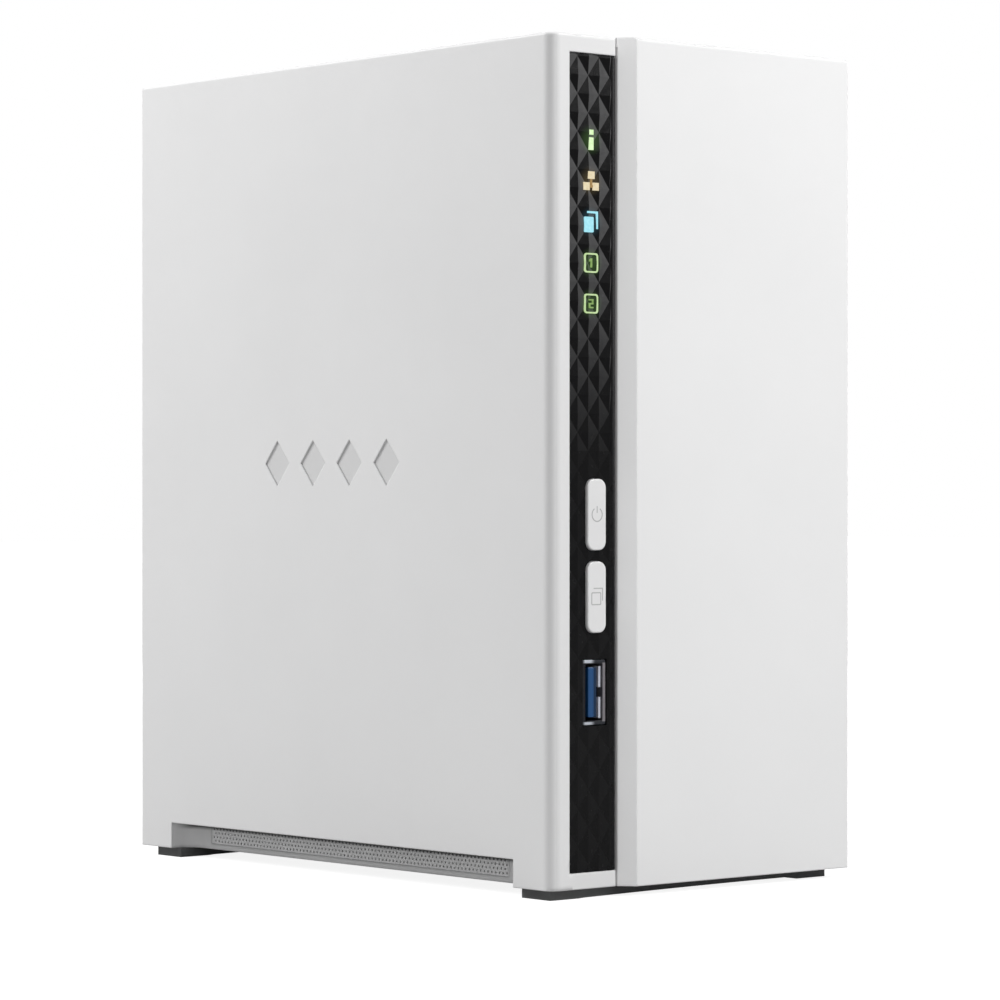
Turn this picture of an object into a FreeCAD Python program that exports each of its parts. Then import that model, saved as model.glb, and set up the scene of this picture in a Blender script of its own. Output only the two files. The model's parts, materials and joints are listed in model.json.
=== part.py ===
import FreeCAD, Part
import Sketcher
import math
import os
import re

os.makedirs("parts", exist_ok=True)
V = FreeCAD.Vector
doc = FreeCAD.newDocument("NetworkStorage")

# ---------------------------------------------------------------- dimensions
# Two-bay desktop storage tower.  X is across (right positive), Y is depth
# (back positive), Z is up.  The origin is on the table under the middle.
DIMS = [
    ("body_width", 89.5), ("body_depth", 155.5), ("body_height", 189.6),
    ("foot_height", 2.3), ("wall", 2.2), ("cover_wall", 1.8), ("seam_gap", 0.35),
    ("panel_step", 3.2), ("seam_x", -25.85), ("corner_round", 2.7), ("edge_round", 0.7),
    ("window_left", -39.36), ("window_right", -25.7), ("window_low", 5.9), ("window_high", 185.5),
    ("window_recess", 0.4), ("window_thick", 1.4), ("front_wall", 3.0),
    ("button_width", 5.5), ("button_height", 15.7), ("button_round", 2.0), ("button_travel", 0.9),
    ("button_center_x", -31.46), ("power_button_z", 84.33), ("copy_button_z", 66.19),
    ("icon_center_x", -32.8), ("icon_pitch", 9.0), ("icon_top_z", 166.6), ("icon_pipe", 5.4),
    ("usb_width", 13.1), ("usb_thick", 5.7), ("usb_sheet", 0.3), ("usb_lip_width", 14.3), ("usb_lip_thick", 6.8),
    ("usb_front_x", -31.6), ("usb_front_z", 45.25),
    ("arch_front", -61.9), ("arch_back", 65.5), ("arch_height", 6.2), ("arch_depth", 6.0),
    ("board_thick", 1.6), ("mainboard_x", -27.6),
    ("drive_length", 147.0), ("drive_width", 101.6), ("drive_thick", 26.1),
    ("drive_one_x", -19.0), ("drive_two_x", 11.5), ("drive_front_y", -69.4), ("drive_low_z", 27.5),
    ("cage_sheet", 1.0), ("cage_left", -24.0), ("cage_right", 39.0), ("cage_low", 10.0), ("cage_high", 181.5),
    ("fan_size", 60.0), ("fan_deep", 25.0), ("fan_x", 12.0), ("fan_z", 120.0), ("fan_bore", 28.6),
    ("fan_tip", 27.6), ("fan_hub", 12.5), ("fan_hole_pitch", 50.0),
    ("rear_inner_y", 74.0), ("rear_thick", 1.6), ("grille_thick", 0.8),
    ("foot_deep", 9.5), ("foot_front_y", -72.1), ("foot_rear_y", 64.3), ("foot_right", 42.5), ("foot_left", -42.8),
    ("cover_travel", 12.0), ("screw_radius", 1.5),
    ("lead_radius", 1.1), ("lead_bend", 4.0), ("lead_y", 58.0), ("lead_fan_x", -19.4), ("lead_low_z", 100.0),
    ("lead_over_z", 183.0), ("lead_header_x", -31.5), ("lead_header_z", 176.0),
]
D = dict(DIMS)
sheet = doc.addObject("Spreadsheet::Sheet", "Dims")
for i, (alias, value) in enumerate(DIMS, 1):
    sheet.set("A%d" % i, alias)
    sheet.set("B%d" % i, repr(value))
    sheet.setAlias("B%d" % i, alias)
doc.recompute()

word = re.compile(r"\b[a-z][a-z_]*\b")


def bind(expr):
    """Turn a short expression over the sheet's words into a document expression."""
    return word.sub(lambda q: "Dims." + q.group(0) if q.group(0) in D else q.group(0), str(expr))


def number(expr):
    out = word.sub(lambda q: "(%r)" % D[q.group(0)] if q.group(0) in D else q.group(0), str(expr))
    total = FreeCAD.Units.Quantity(out)
    return float(total.Value)


def setx(obj, prop, expr):
    obj.setExpression(prop, bind(expr))


nodes = []
count = [0]


def fresh(kind, hint):
    count[0] += 1
    return doc.addObject(kind, "%s_%03d" % (hint, count[0]))


def node(label, obj):
    obj.Label = label
    nodes.append((label, obj))
    return obj


def box(x0, x1, y0, y1, z0, z1, hint="block"):
    b = fresh("Part::Box", hint)
    setx(b, "Length", "(%s) - (%s)" % (x1, x0))
    setx(b, "Width", "(%s) - (%s)" % (y1, y0))
    setx(b, "Height", "(%s) - (%s)" % (z1, z0))
    setx(b, "Placement.Base.x", x0)
    setx(b, "Placement.Base.y", y0)
    setx(b, "Placement.Base.z", z0)
    return b


def rod(axis, x, y, z, radius, length, hint="rod"):
    """Cylinder that starts at x, y, z and runs along +axis."""
    c = fresh("Part::Cylinder", hint)
    rot = {"x": FreeCAD.Rotation(V(0, 1, 0), 90), "y": FreeCAD.Rotation(V(1, 0, 0), -90),
           "z": FreeCAD.Rotation()}[axis]
    c.Placement = FreeCAD.Placement(V(0, 0, 0), rot)
    setx(c, "Radius", radius)
    setx(c, "Height", length)
    setx(c, "Placement.Base.x", x)
    setx(c, "Placement.Base.y", y)
    setx(c, "Placement.Base.z", z)
    return c


def fuse(parts, hint="joined"):
    f = fresh("Part::MultiFuse", hint)
    f.Shapes = parts
    return f


def group(parts, hint="set"):
    f = fresh("Part::Compound", hint)
    f.Links = parts
    return f


def cut(base, tools, hint="cut"):
    c = fresh("Part::Cut", hint)
    c.Base = base
    c.Tool = tools[0] if len(tools) == 1 else group(tools, "tools")
    return c


def fillet(base, radius, choose, hint="rounded"):
    doc.recompute()
    picked = [i for i, e in enumerate(base.Shape.Edges, 1) if choose(e)]
    f = fresh("Part::Fillet", hint)
    f.Base = base
    f.Edges = [(i, number(radius), number(radius)) for i in picked]
    return f


# ------------------------------------------------------ PartDesign helpers
def new_body(label):
    b = doc.addObject("PartDesign::Body", "Body_" + label)
    node(label, b)
    return b


def plane_of(b, role):
    return [o for o in b.Origin.OriginFeatures if o.Role == role][0]


def sketch(b, role, offset, loops):
    sk = b.newObject("Sketcher::SketchObject", "Sketch_%03d" % count[0])
    count[0] += 1
    sk.AttachmentSupport = [(plane_of(b, role), "")]
    sk.MapMode = "FlatFace"
    sk.setExpression("AttachmentOffset.Base.z", bind(offset))
    names = []
    for loop in loops:
        if loop[0] == "circle":
            cx, cy, r = loop[1:]
            g = sk.addGeometry(Part.Circle(V(number(cx), number(cy), 0), V(0, 0, 1), number(r)), False)
            names.append((sk.addConstraint(Sketcher.Constraint("DistanceX", -1, 1, g, 3, number(cx))), cx))
            names.append((sk.addConstraint(Sketcher.Constraint("DistanceY", -1, 1, g, 3, number(cy))), cy))
            names.append((sk.addConstraint(Sketcher.Constraint("Radius", g, number(r))), r))
            continue
        if loop[0] == "rect":
            a, c, e, f = loop[1:]
            pts = [(a, c), (e, c), (e, f), (a, f)]
        else:
            pts = loop[1]
        n = len(pts)
        xy = [V(number(p[0]), number(p[1]), 0) for p in pts]
        gs = [sk.addGeometry(Part.LineSegment(xy[i], xy[(i + 1) % n]), False) for i in range(n)]
        for i in range(n):
            sk.addConstraint(Sketcher.Constraint("Coincident", gs[i], 2, gs[(i + 1) % n], 1))
        for i in range(n):
            names.append((sk.addConstraint(
                Sketcher.Constraint("DistanceX", -1, 1, gs[i], 1, xy[i].x)), pts[i][0]))
            names.append((sk.addConstraint(
                Sketcher.Constraint("DistanceY", -1, 1, gs[i], 1, xy[i].y)), pts[i][1]))
    for k, (c, expr) in enumerate(names):
        if word.search(str(expr)):
            sk.renameConstraint(c, "size%d" % k)
            sk.setExpression("Constraints.size%d" % k, bind(expr))
    return sk


ROLE = {"x": "YZ_Plane", "y": "XZ_Plane", "z": "XY_Plane"}


def pad(b, axis, low, high, loops):
    """Solid between low and high along axis, profile on the plane across it."""
    off = "-(%s)" % high if axis == "y" else low
    sk = sketch(b, ROLE[axis], off, loops)
    p = b.newObject("PartDesign::Pad", "Pad_%03d" % count[0])
    p.Profile = sk
    p.setExpression("Length", bind("(%s) - (%s)" % (high, low)))
    return p


def pocket(b, axis, low, high, loops):
    """Cut between low and high along axis."""
    doc.recompute()
    before = b.Shape.Volume
    off = "-(%s)" % low if axis == "y" else high
    sk = sketch(b, ROLE[axis], off, loops)
    p = b.newObject("PartDesign::Pocket", "Pocket_%03d" % count[0])
    p.Profile = sk
    p.setExpression("Length", bind("(%s) - (%s)" % (high, low)))
    doc.recompute()
    if not b.Shape.Volume < before - 1e-6:
        raise RuntimeError("a pocket in %s cuts nothing" % b.Label)
    return p


def round_edges(b, radius, choose):
    doc.recompute()
    tip = b.Tip
    picked = ["Edge%d" % i for i, e in enumerate(tip.Shape.Edges, 1) if choose(e)]
    f = b.newObject("PartDesign::Fillet", "Round_%03d" % count[0])
    count[0] += 1
    f.Base = (tip, picked)
    f.setExpression("Radius", bind(radius))
    doc.recompute()
    return f


def along(e, axis):
    bb = e.BoundBox
    size = {"x": bb.XLength, "y": bb.YLength, "z": bb.ZLength}
    return size[axis] > 0.2 and all(size[k] < 1e-4 for k in size if k != axis)


def near(a, b):
    return abs(a - b) < 0.02


HX = "body_width/2"
HY = "body_depth/2"
FRAME_Y = D["panel_step"] - D["body_depth"] / 2
frame_y = "(panel_step - body_depth/2)"
top_z = "body_height"
low_z = "foot_height"

# ------------------------------------------------------------- main shell
# Left wall, top strip, base plate and the front frame round the dark window.
sh = new_body("main_shell")
pad(sh, "z", low_z, top_z, [("rect", "-body_width/2", frame_y, "seam_x", HY)])
round_edges(sh, "corner_round", lambda e: along(e, "z") and near(e.BoundBox.XMin, -44.75) and near(e.BoundBox.YMin, FRAME_Y))
round_edges(sh, "edge_round", lambda e: near(e.BoundBox.ZMin, 189.6) and e.BoundBox.ZLength < 1e-4
            and e.BoundBox.XMin < -26.0 and not (near(e.BoundBox.XMin, e.BoundBox.XMax) and e.BoundBox.XMin > -30))
pocket(sh, "x", "wall - body_width/2", "seam_x + 1", [
    ("rect", frame_y + " + front_wall", "foot_height + wall", HY + " + 1", "body_height - wall")])
# window opening with a ledge all round, open to the right
pocket(sh, "y", "-body_depth/2", frame_y + " + front_wall + 1", [
    ("rect", "window_left + 1.2", "window_low + 1.2", "seam_x + 1", "window_high - 1.2")])
pocket(sh, "y", "-body_depth/2", frame_y + " + window_recess + window_thick", [
    ("rect", "window_left - 0.06", "window_low - 0.06", "seam_x + 1", "window_high + 0.06")])
# base plate under everything, step under the cover's top edge
pad(sh, "z", low_z, "foot_height + wall", [("rect", "seam_x - 3", frame_y + " + 0.3", "body_width/2 - cover_wall - 0.3", HY)])
pad(sh, "y", frame_y + " + front_wall - 0.5", "rear_inner_y - 0.4", [
    ("poly", [("seam_x - 2", "body_height - wall - 2.5"), ("seam_x + 5.35", "body_height - wall - 2.5"),
              ("seam_x + 5.35", "body_height - wall - 0.5"), ("seam_x", "body_height - wall - 0.5"),
              ("seam_x", "body_height - wall"), ("seam_x - 2", "body_height - wall")])])
# notch at the front where the cover's bevelled edge dips behind the frame line
pocket(sh, "z", low_z + " - 0.5", "foot_height + wall + 0.5", [
    ("rect", "seam_x + seam_gap", frame_y + " - 1", "seam_x + 3.6", frame_y + " + 2.3")])
# raised floor over the air intake arch, then the arch itself
pad(sh, "z", "foot_height + wall", "foot_height + arch_height + 1.7", [
    ("rect", "wall - body_width/2 - 0.5", "arch_front - 2.1", "arch_depth - body_width/2 + 1.45", "arch_back + 2.1")])
cove = [(math.sin(math.radians(15 * k)), 5 - 5 * math.cos(math.radians(15 * k))) for k in range(7)]
pocket(sh, "z", "foot_height - 0.5", "foot_height + arch_height", [
    ("poly", [("-body_width/2 - 1", "arch_front")]
     + [("arch_depth*%.5f - body_width/2" % u, "arch_front + %.4f" % v) for u, v in cove]
     + [("arch_depth*%.5f - body_width/2" % u, "arch_back - %.4f" % v) for u, v in reversed(cove)]
     + [("-body_width/2 - 1", "arch_back")])])
# opening behind the intake mesh
pocket(sh, "x", "arch_depth - body_width/2 - 0.5", "arch_depth - body_width/2 + 2", [
    ("rect", "arch_front + 8.4", "foot_height + 1.3", "arch_back - 8.4", "foot_height + arch_height - 0.5")])
# posts: cage, control board, rear panel
pad(sh, "z", "foot_height + wall - 0.2", "cage_low", [
    ("circle", "-16", "-60", "3.4"), ("circle", "32", "-60", "3.4"), ("circle", "-16", "38", "3.4"), ("circle", "32", "38", "3.4")])
pad(sh, "y", frame_y + " + front_wall - 0.2", "-64", [
    ("circle", "-40.35", "70", "1.9"), ("circle", "-40.35", "162", "1.9")])
pad(sh, "y", "66", "rear_inner_y", [
    ("rect", "-42.8", "180.5", "-36.8", "187.6"), ("rect", "-42.8", "4.3", "-36.8", "12"), ("rect", "20", "4.3", "27", "12")])
# plain row of four sunk diamonds on the side
mark = []
for k in range(4):
    c = 2.65 + (k - 1.5) * 13.6
    mark.append(("poly", [(str(c - 4.6), "96.15"), (str(c), "90.8"), (str(c + 4.6), "96.15"), (str(c), "101.5")]))
pocket(sh, "x", "-body_width/2 - 0.5", "-body_width/2 + 0.35", mark)

# --------------------------------------------------------------- case cover
# Raised front panel, right wall and top plate in one moulding that slides forward.
cv = new_body("case_cover")
inner_x = "body_width/2 - cover_wall"
pad(cv, "z", low_z, top_z, [("poly", [
    ("seam_x + 0.65", frame_y), ("-22.3", "-body_depth/2"), (HX, "-body_depth/2"), (HX, HY), (inner_x, HY),
    (inner_x, "2.4 - body_depth/2"), ("-21.5", "2.4 - body_depth/2"), ("-22.6", frame_y + " + 0.55"),
    ("-22.6", frame_y + " + 1.95"), ("seam_x + 0.65", frame_y + " + 1.95")])])
pad(cv, "z", "body_height - wall", top_z, [("poly", [
    ("seam_x + seam_gap", frame_y), ("seam_x + 0.65", frame_y), ("-22.3", "-body_depth/2"), (HX, "-body_depth/2"), (HX, HY),
    ("seam_x + seam_gap", HY)])])
round_edges(cv, "edge_round", lambda e: (near(e.BoundBox.ZMin, 189.6) and e.BoundBox.ZLength < 1e-4 and (
    near(e.BoundBox.XMin, 44.75) or near(e.BoundBox.YMax, -77.75) or near(e.BoundBox.YMin, 77.75)))
    or (along(e, "z") and near(e.BoundBox.XMin, 44.75) and e.BoundBox.ZLength > 100))
# guide rib beside the shell's step, hook rail over the base plate
pad(cv, "z", "body_height - wall - 2.8", "body_height - wall + 0.3", [("rect", "-20.1", "-60", "-18.9", "66")])
pad(cv, "z", "foot_height + wall + 0.35", "foot_height + wall + 1.6", [("rect", "41.4", "-60", inner_x + " + 0.3", "66")])
# screw bosses behind the rear panel
pad(cv, "y", "64", "rear_inner_y - 0.4", [
    ("rect", "35.8", "178.2", inner_x + " + 0.3", "186.2"), ("rect", "35.8", "7.2", inner_x + " + 0.3", "15.2")])
pocket(cv, "y", "64.5", "rear_inner_y", [("circle", "39.2", "182.2", "screw_radius + 0.15"), ("circle", "39.2", "11.2", "screw_radius + 0.15")])

# --------------------------------------------------------------- rear panel
rp = new_body("rear_panel")
ry0, ry1 = "rear_inner_y", "rear_inner_y + rear_thick"
pad(rp, "y", ry0, ry1, [("rect", "-42.35", "foot_height + wall + 0.2", "body_width/2 - cover_wall - 0.3", "body_height - wall - 0.2")])
pocket(rp, "y", ry0 + " - 1", ry1 + " + 1", [
    ("circle", "fan_x", "fan_z", "28")] + [
    ("circle", "fan_x %s fan_hole_pitch/2" % a, "fan_z %s fan_hole_pitch/2" % b, "screw_radius + 0.1") for a in "-+" for b in "-+"])
pocket(rp, "y", ry0 + " - 1", ry1 + " + 1", [
    ("circle", "39.2", "182.2", "screw_radius + 0.1"), ("circle", "39.2", "11.2", "screw_radius + 0.1"),
    ("circle", "-39.6", "183.6", "screw_radius + 0.1"), ("circle", "-39.6", "8.2", "screw_radius + 0.1"),
    ("circle", "23.5", "8.2", "screw_radius + 0.1"),
    ("circle", "-31.6", "150", "1.0"),
    ("rect", "-35.1", "164.5", "-28.1", "167.5"),
    ("rect", "-34.8", "125.0", "-28.3", "139.0"),
    ("rect", "-34.8", "105.0", "-28.3", "119.0"),
    ("rect", "-41.2", "79.8", "-27.5", "96.2"),
    ("circle", "-33.2", "60", "4.6")])
# low vent slots beside the fan
pocket(rp, "y", ry0 + " - 1", ry1 + " + 1", [
    ("rect", "-8", str(24 + 6 * k), "32", str(27 + 6 * k)) for k in range(8)])

# --------------------------------------------------------------- fan grille
grille_base = box("fan_x - 30.4", "fan_x + 30.4", ry1, ry1 + " + grille_thick", "fan_z - 30.4", "fan_z + 30.4")
cells = []
pitch = 5.2
for row in range(-6, 7):
    for col in range(-6, 7):
        px = (col + (0.5 if row % 2 else 0.0)) * pitch
        pz = row * pitch * math.sqrt(3) / 2
        if math.hypot(px, pz) > 26.0:
            continue
        p = fresh("Part::Prism", "cell")
        p.Polygon = 6
        p.Circumradius = 2.55
        p.Placement = FreeCAD.Placement(V(0, 0, 0), FreeCAD.Rotation(V(1, 0, 0), -90).multiply(FreeCAD.Rotation(V(0, 0, 1), 30)))
        setx(p, "Height", "grille_thick + 2")
        setx(p, "Placement.Base.x", "fan_x + %.4f" % px)
        setx(p, "Placement.Base.y", ry1 + " - 1")
        setx(p, "Placement.Base.z", "fan_z + %.4f" % pz)
        cells.append(p)
corner_holes = [rod("y", "fan_x %s fan_hole_pitch/2" % a, ry1 + " - 1", "fan_z %s fan_hole_pitch/2" % b, "screw_radius + 0.1", "4") for a in "-+" for b in "-+"]
node("fan_grille", cut(grille_base, cells + corner_holes))

# ---------------------------------------------------------- window and lights
wf = new_body("window_fascia")
wy0 = frame_y + " + window_recess"
wy1 = frame_y + " + window_recess + window_thick"
pad(wf, "y", wy0, wy1, [("rect", "window_left", "window_low", "window_right", "window_high")])
pocket(wf, "y", wy0 + " - 1", wy1 + " + 1", [
    ("rect", "icon_center_x - icon_pipe/2 - 0.1", "icon_top_z - %d*icon_pitch - icon_pipe/2 - 0.1" % k,
     "icon_center_x + icon_pipe/2 + 0.1", "icon_top_z - %d*icon_pitch + icon_pipe/2 + 0.1" % k) for k in range(5)]
    + [("rect", "usb_front_x - usb_lip_thick/2 - 0.15", "usb_front_z - usb_lip_width/2 - 0.15",
        "usb_front_x + usb_lip_thick/2 + 0.15", "usb_front_z + usb_lip_width/2 + 0.15")])
for bz in ("power_button_z", "copy_button_z"):
    pocket(wf, "y", wy0 + " - 1", wy1 + " + 1", [
        ("rect", "button_center_x - button_width/2 - 0.2", bz + " - button_height/2 - 0.2",
         "button_center_x + button_width/2 + 0.2", bz + " + button_height/2 + 0.2")])
round_edges(wf, "button_round + 0.2", lambda e: along(e, "y") and any(abs(abs(e.BoundBox.ZMin - c) - 8.05) < 0.05 for c in (D["power_button_z"], D["copy_button_z"]))
            and abs(abs(e.BoundBox.XMin + 31.46) - 2.95) < 0.05)
for k, nm in enumerate(["power_light_pipe", "network_light_pipe", "copy_light_pipe", "drive_one_light_pipe", "drive_two_light_pipe"]):
    cz = "icon_top_z - %d*icon_pitch" % k
    head = box("icon_center_x - icon_pipe/2", "icon_center_x + icon_pipe/2", wy0, "-71.9", cz + " - icon_pipe/2", cz + " + icon_pipe/2")
    stem = box("icon_center_x - 1.6", "icon_center_x + 1.6", "-72.0", "-65.3", cz + " - 1.6", cz + " + 1.6")
    node(nm, fuse([head, stem]))

# ------------------------------------------------------------ control board
cb = new_body("control_board")
pad(cb, "y", "-64", "-64 + board_thick", [("rect", "-42.2", "56", "-28.8", "174")])
pocket(cb, "y", "-65", "-60", [("circle", "-40.35", "70", "0.85"), ("circle", "-40.35", "162", "0.85")])
node("indicator_leds", group([box("icon_center_x - 1", "icon_center_x + 1", "-65.1", "-64",
     "icon_top_z - %d*icon_pitch - 0.7" % k, "icon_top_z - %d*icon_pitch + 0.7" % k) for k in range(5)]))
switches = []
for bz in ("power_button_z", "copy_button_z"):
    body_ = box("button_center_x - 2.5", "button_center_x + 2.5", "-67.2", "-64", bz + " - 2.5", bz + " + 2.5")
    switches.append(cut(body_, [rod("y", "button_center_x", "-68", bz, "1.55", "2.9")]))
node("button_switches", group(switches))
for nm, bz in (("power", "power_button_z"), ("copy", "copy_button_z")):
    b = new_body(nm + "_button")
    pad(b, "y", frame_y + " - 0.2", "-71.9", [("rect", "button_center_x - button_width/2", bz + " - button_height/2",
                                   "button_center_x + button_width/2", bz + " + button_height/2")])
    round_edges(b, "button_round", lambda e: along(e, "y"))
    round_edges(b, "0.35", lambda e: near(e.BoundBox.YMin, FRAME_Y - 0.2) and near(e.BoundBox.YMax, FRAME_Y - 0.2))
    pad(b, "y", "-72.2", "-71.2", [("rect", "button_center_x - button_width/2 - 0.7", bz + " - button_height/2 - 0.7",
                                     "button_center_x + button_width/2 + 0.7", bz + " + button_height/2 + 0.7")])
    pad(b, "y", "-71.4", "-68.3", [("circle", "button_center_x", bz, "1.6")])
    node(nm + "_switch_plunger", rod("y", "button_center_x", "-68.3", bz, "1.2", "1.9"))
board_screws = [fuse([rod("y", "-40.35", "-62.4", z, "1.6", "1.1"), rod("y", "-40.35", "-66.6", z, "0.8", "4.4")]) for z in ("70", "162")]

# ------------------------------------------------------------ USB sockets
def usb(cx, cz, front, deep, into):
    """Socket that opens toward -Y (into=1) or +Y (into=-1)."""
    s = "+" if into > 0 else "-"
    def span(a, b):
        lo, hi = ("%s + %s" % (front, a), "%s + %s" % (front, b)) if into > 0 else ("%s - %s" % (front, b), "%s - %s" % (front, a))
        return lo, hi
    y0, y1 = span(0, deep)
    tube = box("%s - usb_thick/2" % cx, "%s + usb_thick/2" % cx, y0, y1, "%s - usb_width/2" % cz, "%s + usb_width/2" % cz)
    y2, y3 = span(0, 0.5)
    lip = box("%s - usb_lip_thick/2" % cx, "%s + usb_lip_thick/2" % cx, y2, y3, "%s - usb_lip_width/2" % cz, "%s + usb_lip_width/2" % cz)
    lo, hi = span(-1, deep - 0.4)
    hollow = box("%s - usb_thick/2 + usb_sheet" % cx, "%s + usb_thick/2 - usb_sheet" % cx, lo, hi,
                 "%s - usb_width/2 + usb_sheet" % cz, "%s + usb_width/2 - usb_sheet" % cz)
    shell = cut(fuse([tube, lip]), [hollow])
    lo, hi = span(1.0, deep - 5.0)
    tongue = box("%s - 2.3" % cx, "%s - 0.45" % cx, lo, hi, "%s - 5.5" % cz, "%s + 5.5" % cz)
    lo, hi = span(deep - 5.0, deep - 0.45)
    block = box("%s - usb_thick/2 + usb_sheet + 0.05" % cx, "%s + usb_thick/2 - usb_sheet - 0.05" % cx, lo, hi,
                "%s - usb_width/2 + usb_sheet + 0.05" % cz, "%s + usb_width/2 - usb_sheet - 0.05" % cz)
    lo, hi = span(2.2, deep - 5.0)
    pins = [box("%s - 0.45" % cx, "%s - 0.25" % cx, lo, hi, "%s + %s" % (cz, z - 0.5), "%s + %s" % (cz, z + 0.5)) for z in (-3.5, -1.0, 1.0, 3.5)]
    return shell, fuse([tongue, block]), pins

s1, t1, p1 = usb("usb_front_x", "usb_front_z", frame_y + " + 0.65", 17.0, 1)
node("usb_front_shell", s1)
node("usb_front_tongue", t1)
rear_shells, rear_tongues, pins = [], [], list(p1)
for z in ("132", "112"):
    s_, t_, p_ = usb("-31.55", z, "rear_inner_y + rear_thick + 0.55", 16.5, -1)
    rear_shells.append(s_)
    rear_tongues.append(t_)
    pins += p_
node("usb_rear_shells", group(rear_shells))
node("usb_rear_tongues", group(rear_tongues))
port_pins = pins

# ------------------------------------------------------- mainboard and parts
mb = new_body("mainboard")
pad(mb, "x", "mainboard_x", "mainboard_x + board_thick", [("rect", "-70", "14", "73", "180")])
corners = [("-54", "24"), ("-54", "170"), ("40", "24"), ("40", "170")]
pocket(mb, "x", "mainboard_x - 1", "mainboard_x + board_thick + 1", [("circle", y, z, "1.7") for y, z in corners])
standoffs = ([cut(rod("x", "mainboard_x + board_thick", y, z, "2.6", "cage_left - mainboard_x - board_thick"),
     [rod("x", "mainboard_x", y, z, "1.25", "6")]) for y, z in corners])
board_screws += [fuse([rod("x", "mainboard_x - 1.8", y, z, "2.8", "1.8"), rod("x", "mainboard_x - 0.2", y, z, "1.2", "3.6")]) for y, z in corners]
node("board_screws", group(board_screws))
node("processor_chip", box("mainboard_x - 2.2", "mainboard_x", "-18", "2", "120", "140"))
fins = [box("mainboard_x - 4.2", "mainboard_x - 2.2", "-28", "12", "110", "150")]
fins += [box("mainboard_x - 11.0", "mainboard_x - 4.1", str(-28 + 3.84 * k), str(-28 + 3.84 * k + 1.6), "110", "150") for k in range(11)]
node("processor_heatsink", fuse(fins))
chips = ([box("mainboard_x - 1.1", "mainboard_x", str(-12 + 18 * k), str(-1 + 18 * k), "90", "103") for k in range(2)]
     + [box("mainboard_x - 1.1", "mainboard_x", "20", "31", str(112 + 18 * k), str(125 + 18 * k)) for k in range(2)])
chips.append(box("mainboard_x - 1.2", "mainboard_x", "34", "43", "84", "93"))
chips.append(box("mainboard_x - 1.2", "mainboard_x", "-42", "-30", "96", "114"))
node("memory_and_network_chips", group(chips))
node("coin_cell", rod("x", "mainboard_x - 4.6", "-42", "150", "10", "3.2"))
node("coin_cell_holder", cut(box("mainboard_x - 4.9", "mainboard_x", "-54", "-30", "138.5", "161.5"),
     [rod("x", "mainboard_x - 6", "-42", "150", "10.1", "4.65")]))
power_bits = ([rod("x", "mainboard_x - 9", y, z, "3.1", "9") for y, z in (("46", "46"), ("38", "46"), ("46", "38"), ("30", "46"), ("38", "38"))])
power_bits += [box("mainboard_x - 4", "mainboard_x", str(20 + 12 * k), str(28 + 12 * k), "60", "68") for k in range(3)]
node("power_capacitors", group(power_bits))

# RJ45 socket, opening to the back
rj_y1 = "rear_inner_y + rear_thick + 0.5"
rj = cut(box("-41", "mainboard_x", "54", rj_y1, "80", "96"),
         [box("-38.7", "-30.2", "60", rj_y1 + " + 1", "82.1", "93.9"), box("-40.1", "-38.6", "66", rj_y1 + " + 1", "84.8", "91.2")])
node("ethernet_socket", rj)
port_pins += [box("-31.2", "-30.25", "61", "73", str(83.8 + 1.2 * k - 0.2), str(83.8 + 1.2 * k + 0.2)) for k in range(8)]
node("port_contacts", group(port_pins))
# barrel power inlet
inlet = cut(box("mainboard_x - 10.6", "mainboard_x", "60", "rear_inner_y - 0.3", "55.2", "64.8"), [rod("y", "-33.2", "61.5", "60", "3.15", "20")])
inlet_nose = cut(rod("y", "-33.2", "rear_inner_y - 0.4", "60", "4.4", "2.3"), [rod("y", "-33.2", "rear_inner_y - 2", "60", "3.15", "20")])
node("power_inlet", fuse([inlet, inlet_nose]))
node("power_inlet_pin", fuse([rod("y", "-33.2", "61.6", "60", "1.05", "11.4"), rod("y", "-33.2", "61.5", "60", "1.6", "1.0")]))
# reset switch behind the pinhole
rs = cut(box("mainboard_x - 6.2", "mainboard_x", "65.5", "70", "147.5", "152.5"), [rod("y", "-31.6", "67.4", "150", "1.15", "4")])
node("reset_switch", rs)
node("reset_plunger", rod("y", "-31.6", "68.2", "150", "0.9", "3.8"))

# ------------------------------------------------------------- drive cage
cg = new_body("drive_cage")
pad(cg, "y", "-71", "44", [("poly", [
    ("cage_left", "cage_low"), ("cage_right", "cage_low"), ("cage_right", "cage_low + cage_sheet"),
    ("cage_left + cage_sheet", "cage_low + cage_sheet"), ("cage_left + cage_sheet", "cage_high - cage_sheet"),
    ("cage_right", "cage_high - cage_sheet"), ("cage_right", "cage_high"), ("cage_left", "cage_high")])])
pocket(cg, "x", "cage_left - 1", "cage_left + 2", [("rect", "-24", "cage_low + 1.2", "24", "24")] +
       [("rect", "-48", "40", "-6", "160"), ("rect", "4", "40", "34", "160")])
pocket(cg, "z", "cage_low - 1", "cage_low + 2", [
    ("circle", "-16", "-60", "1.7"), ("circle", "32", "-60", "1.7"), ("circle", "-16", "38", "1.7"), ("circle", "32", "38", "1.7")])
frame_screws = ([fuse([rod("z", x, y, "cage_low + cage_sheet", "2.9", "1.8"), rod("z", x, y, "cage_low - 0.1", "1.4", "1.3")])
                           for x, y in (("-16", "-60"), ("32", "-60"), ("-16", "38"), ("32", "38"))])

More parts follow.
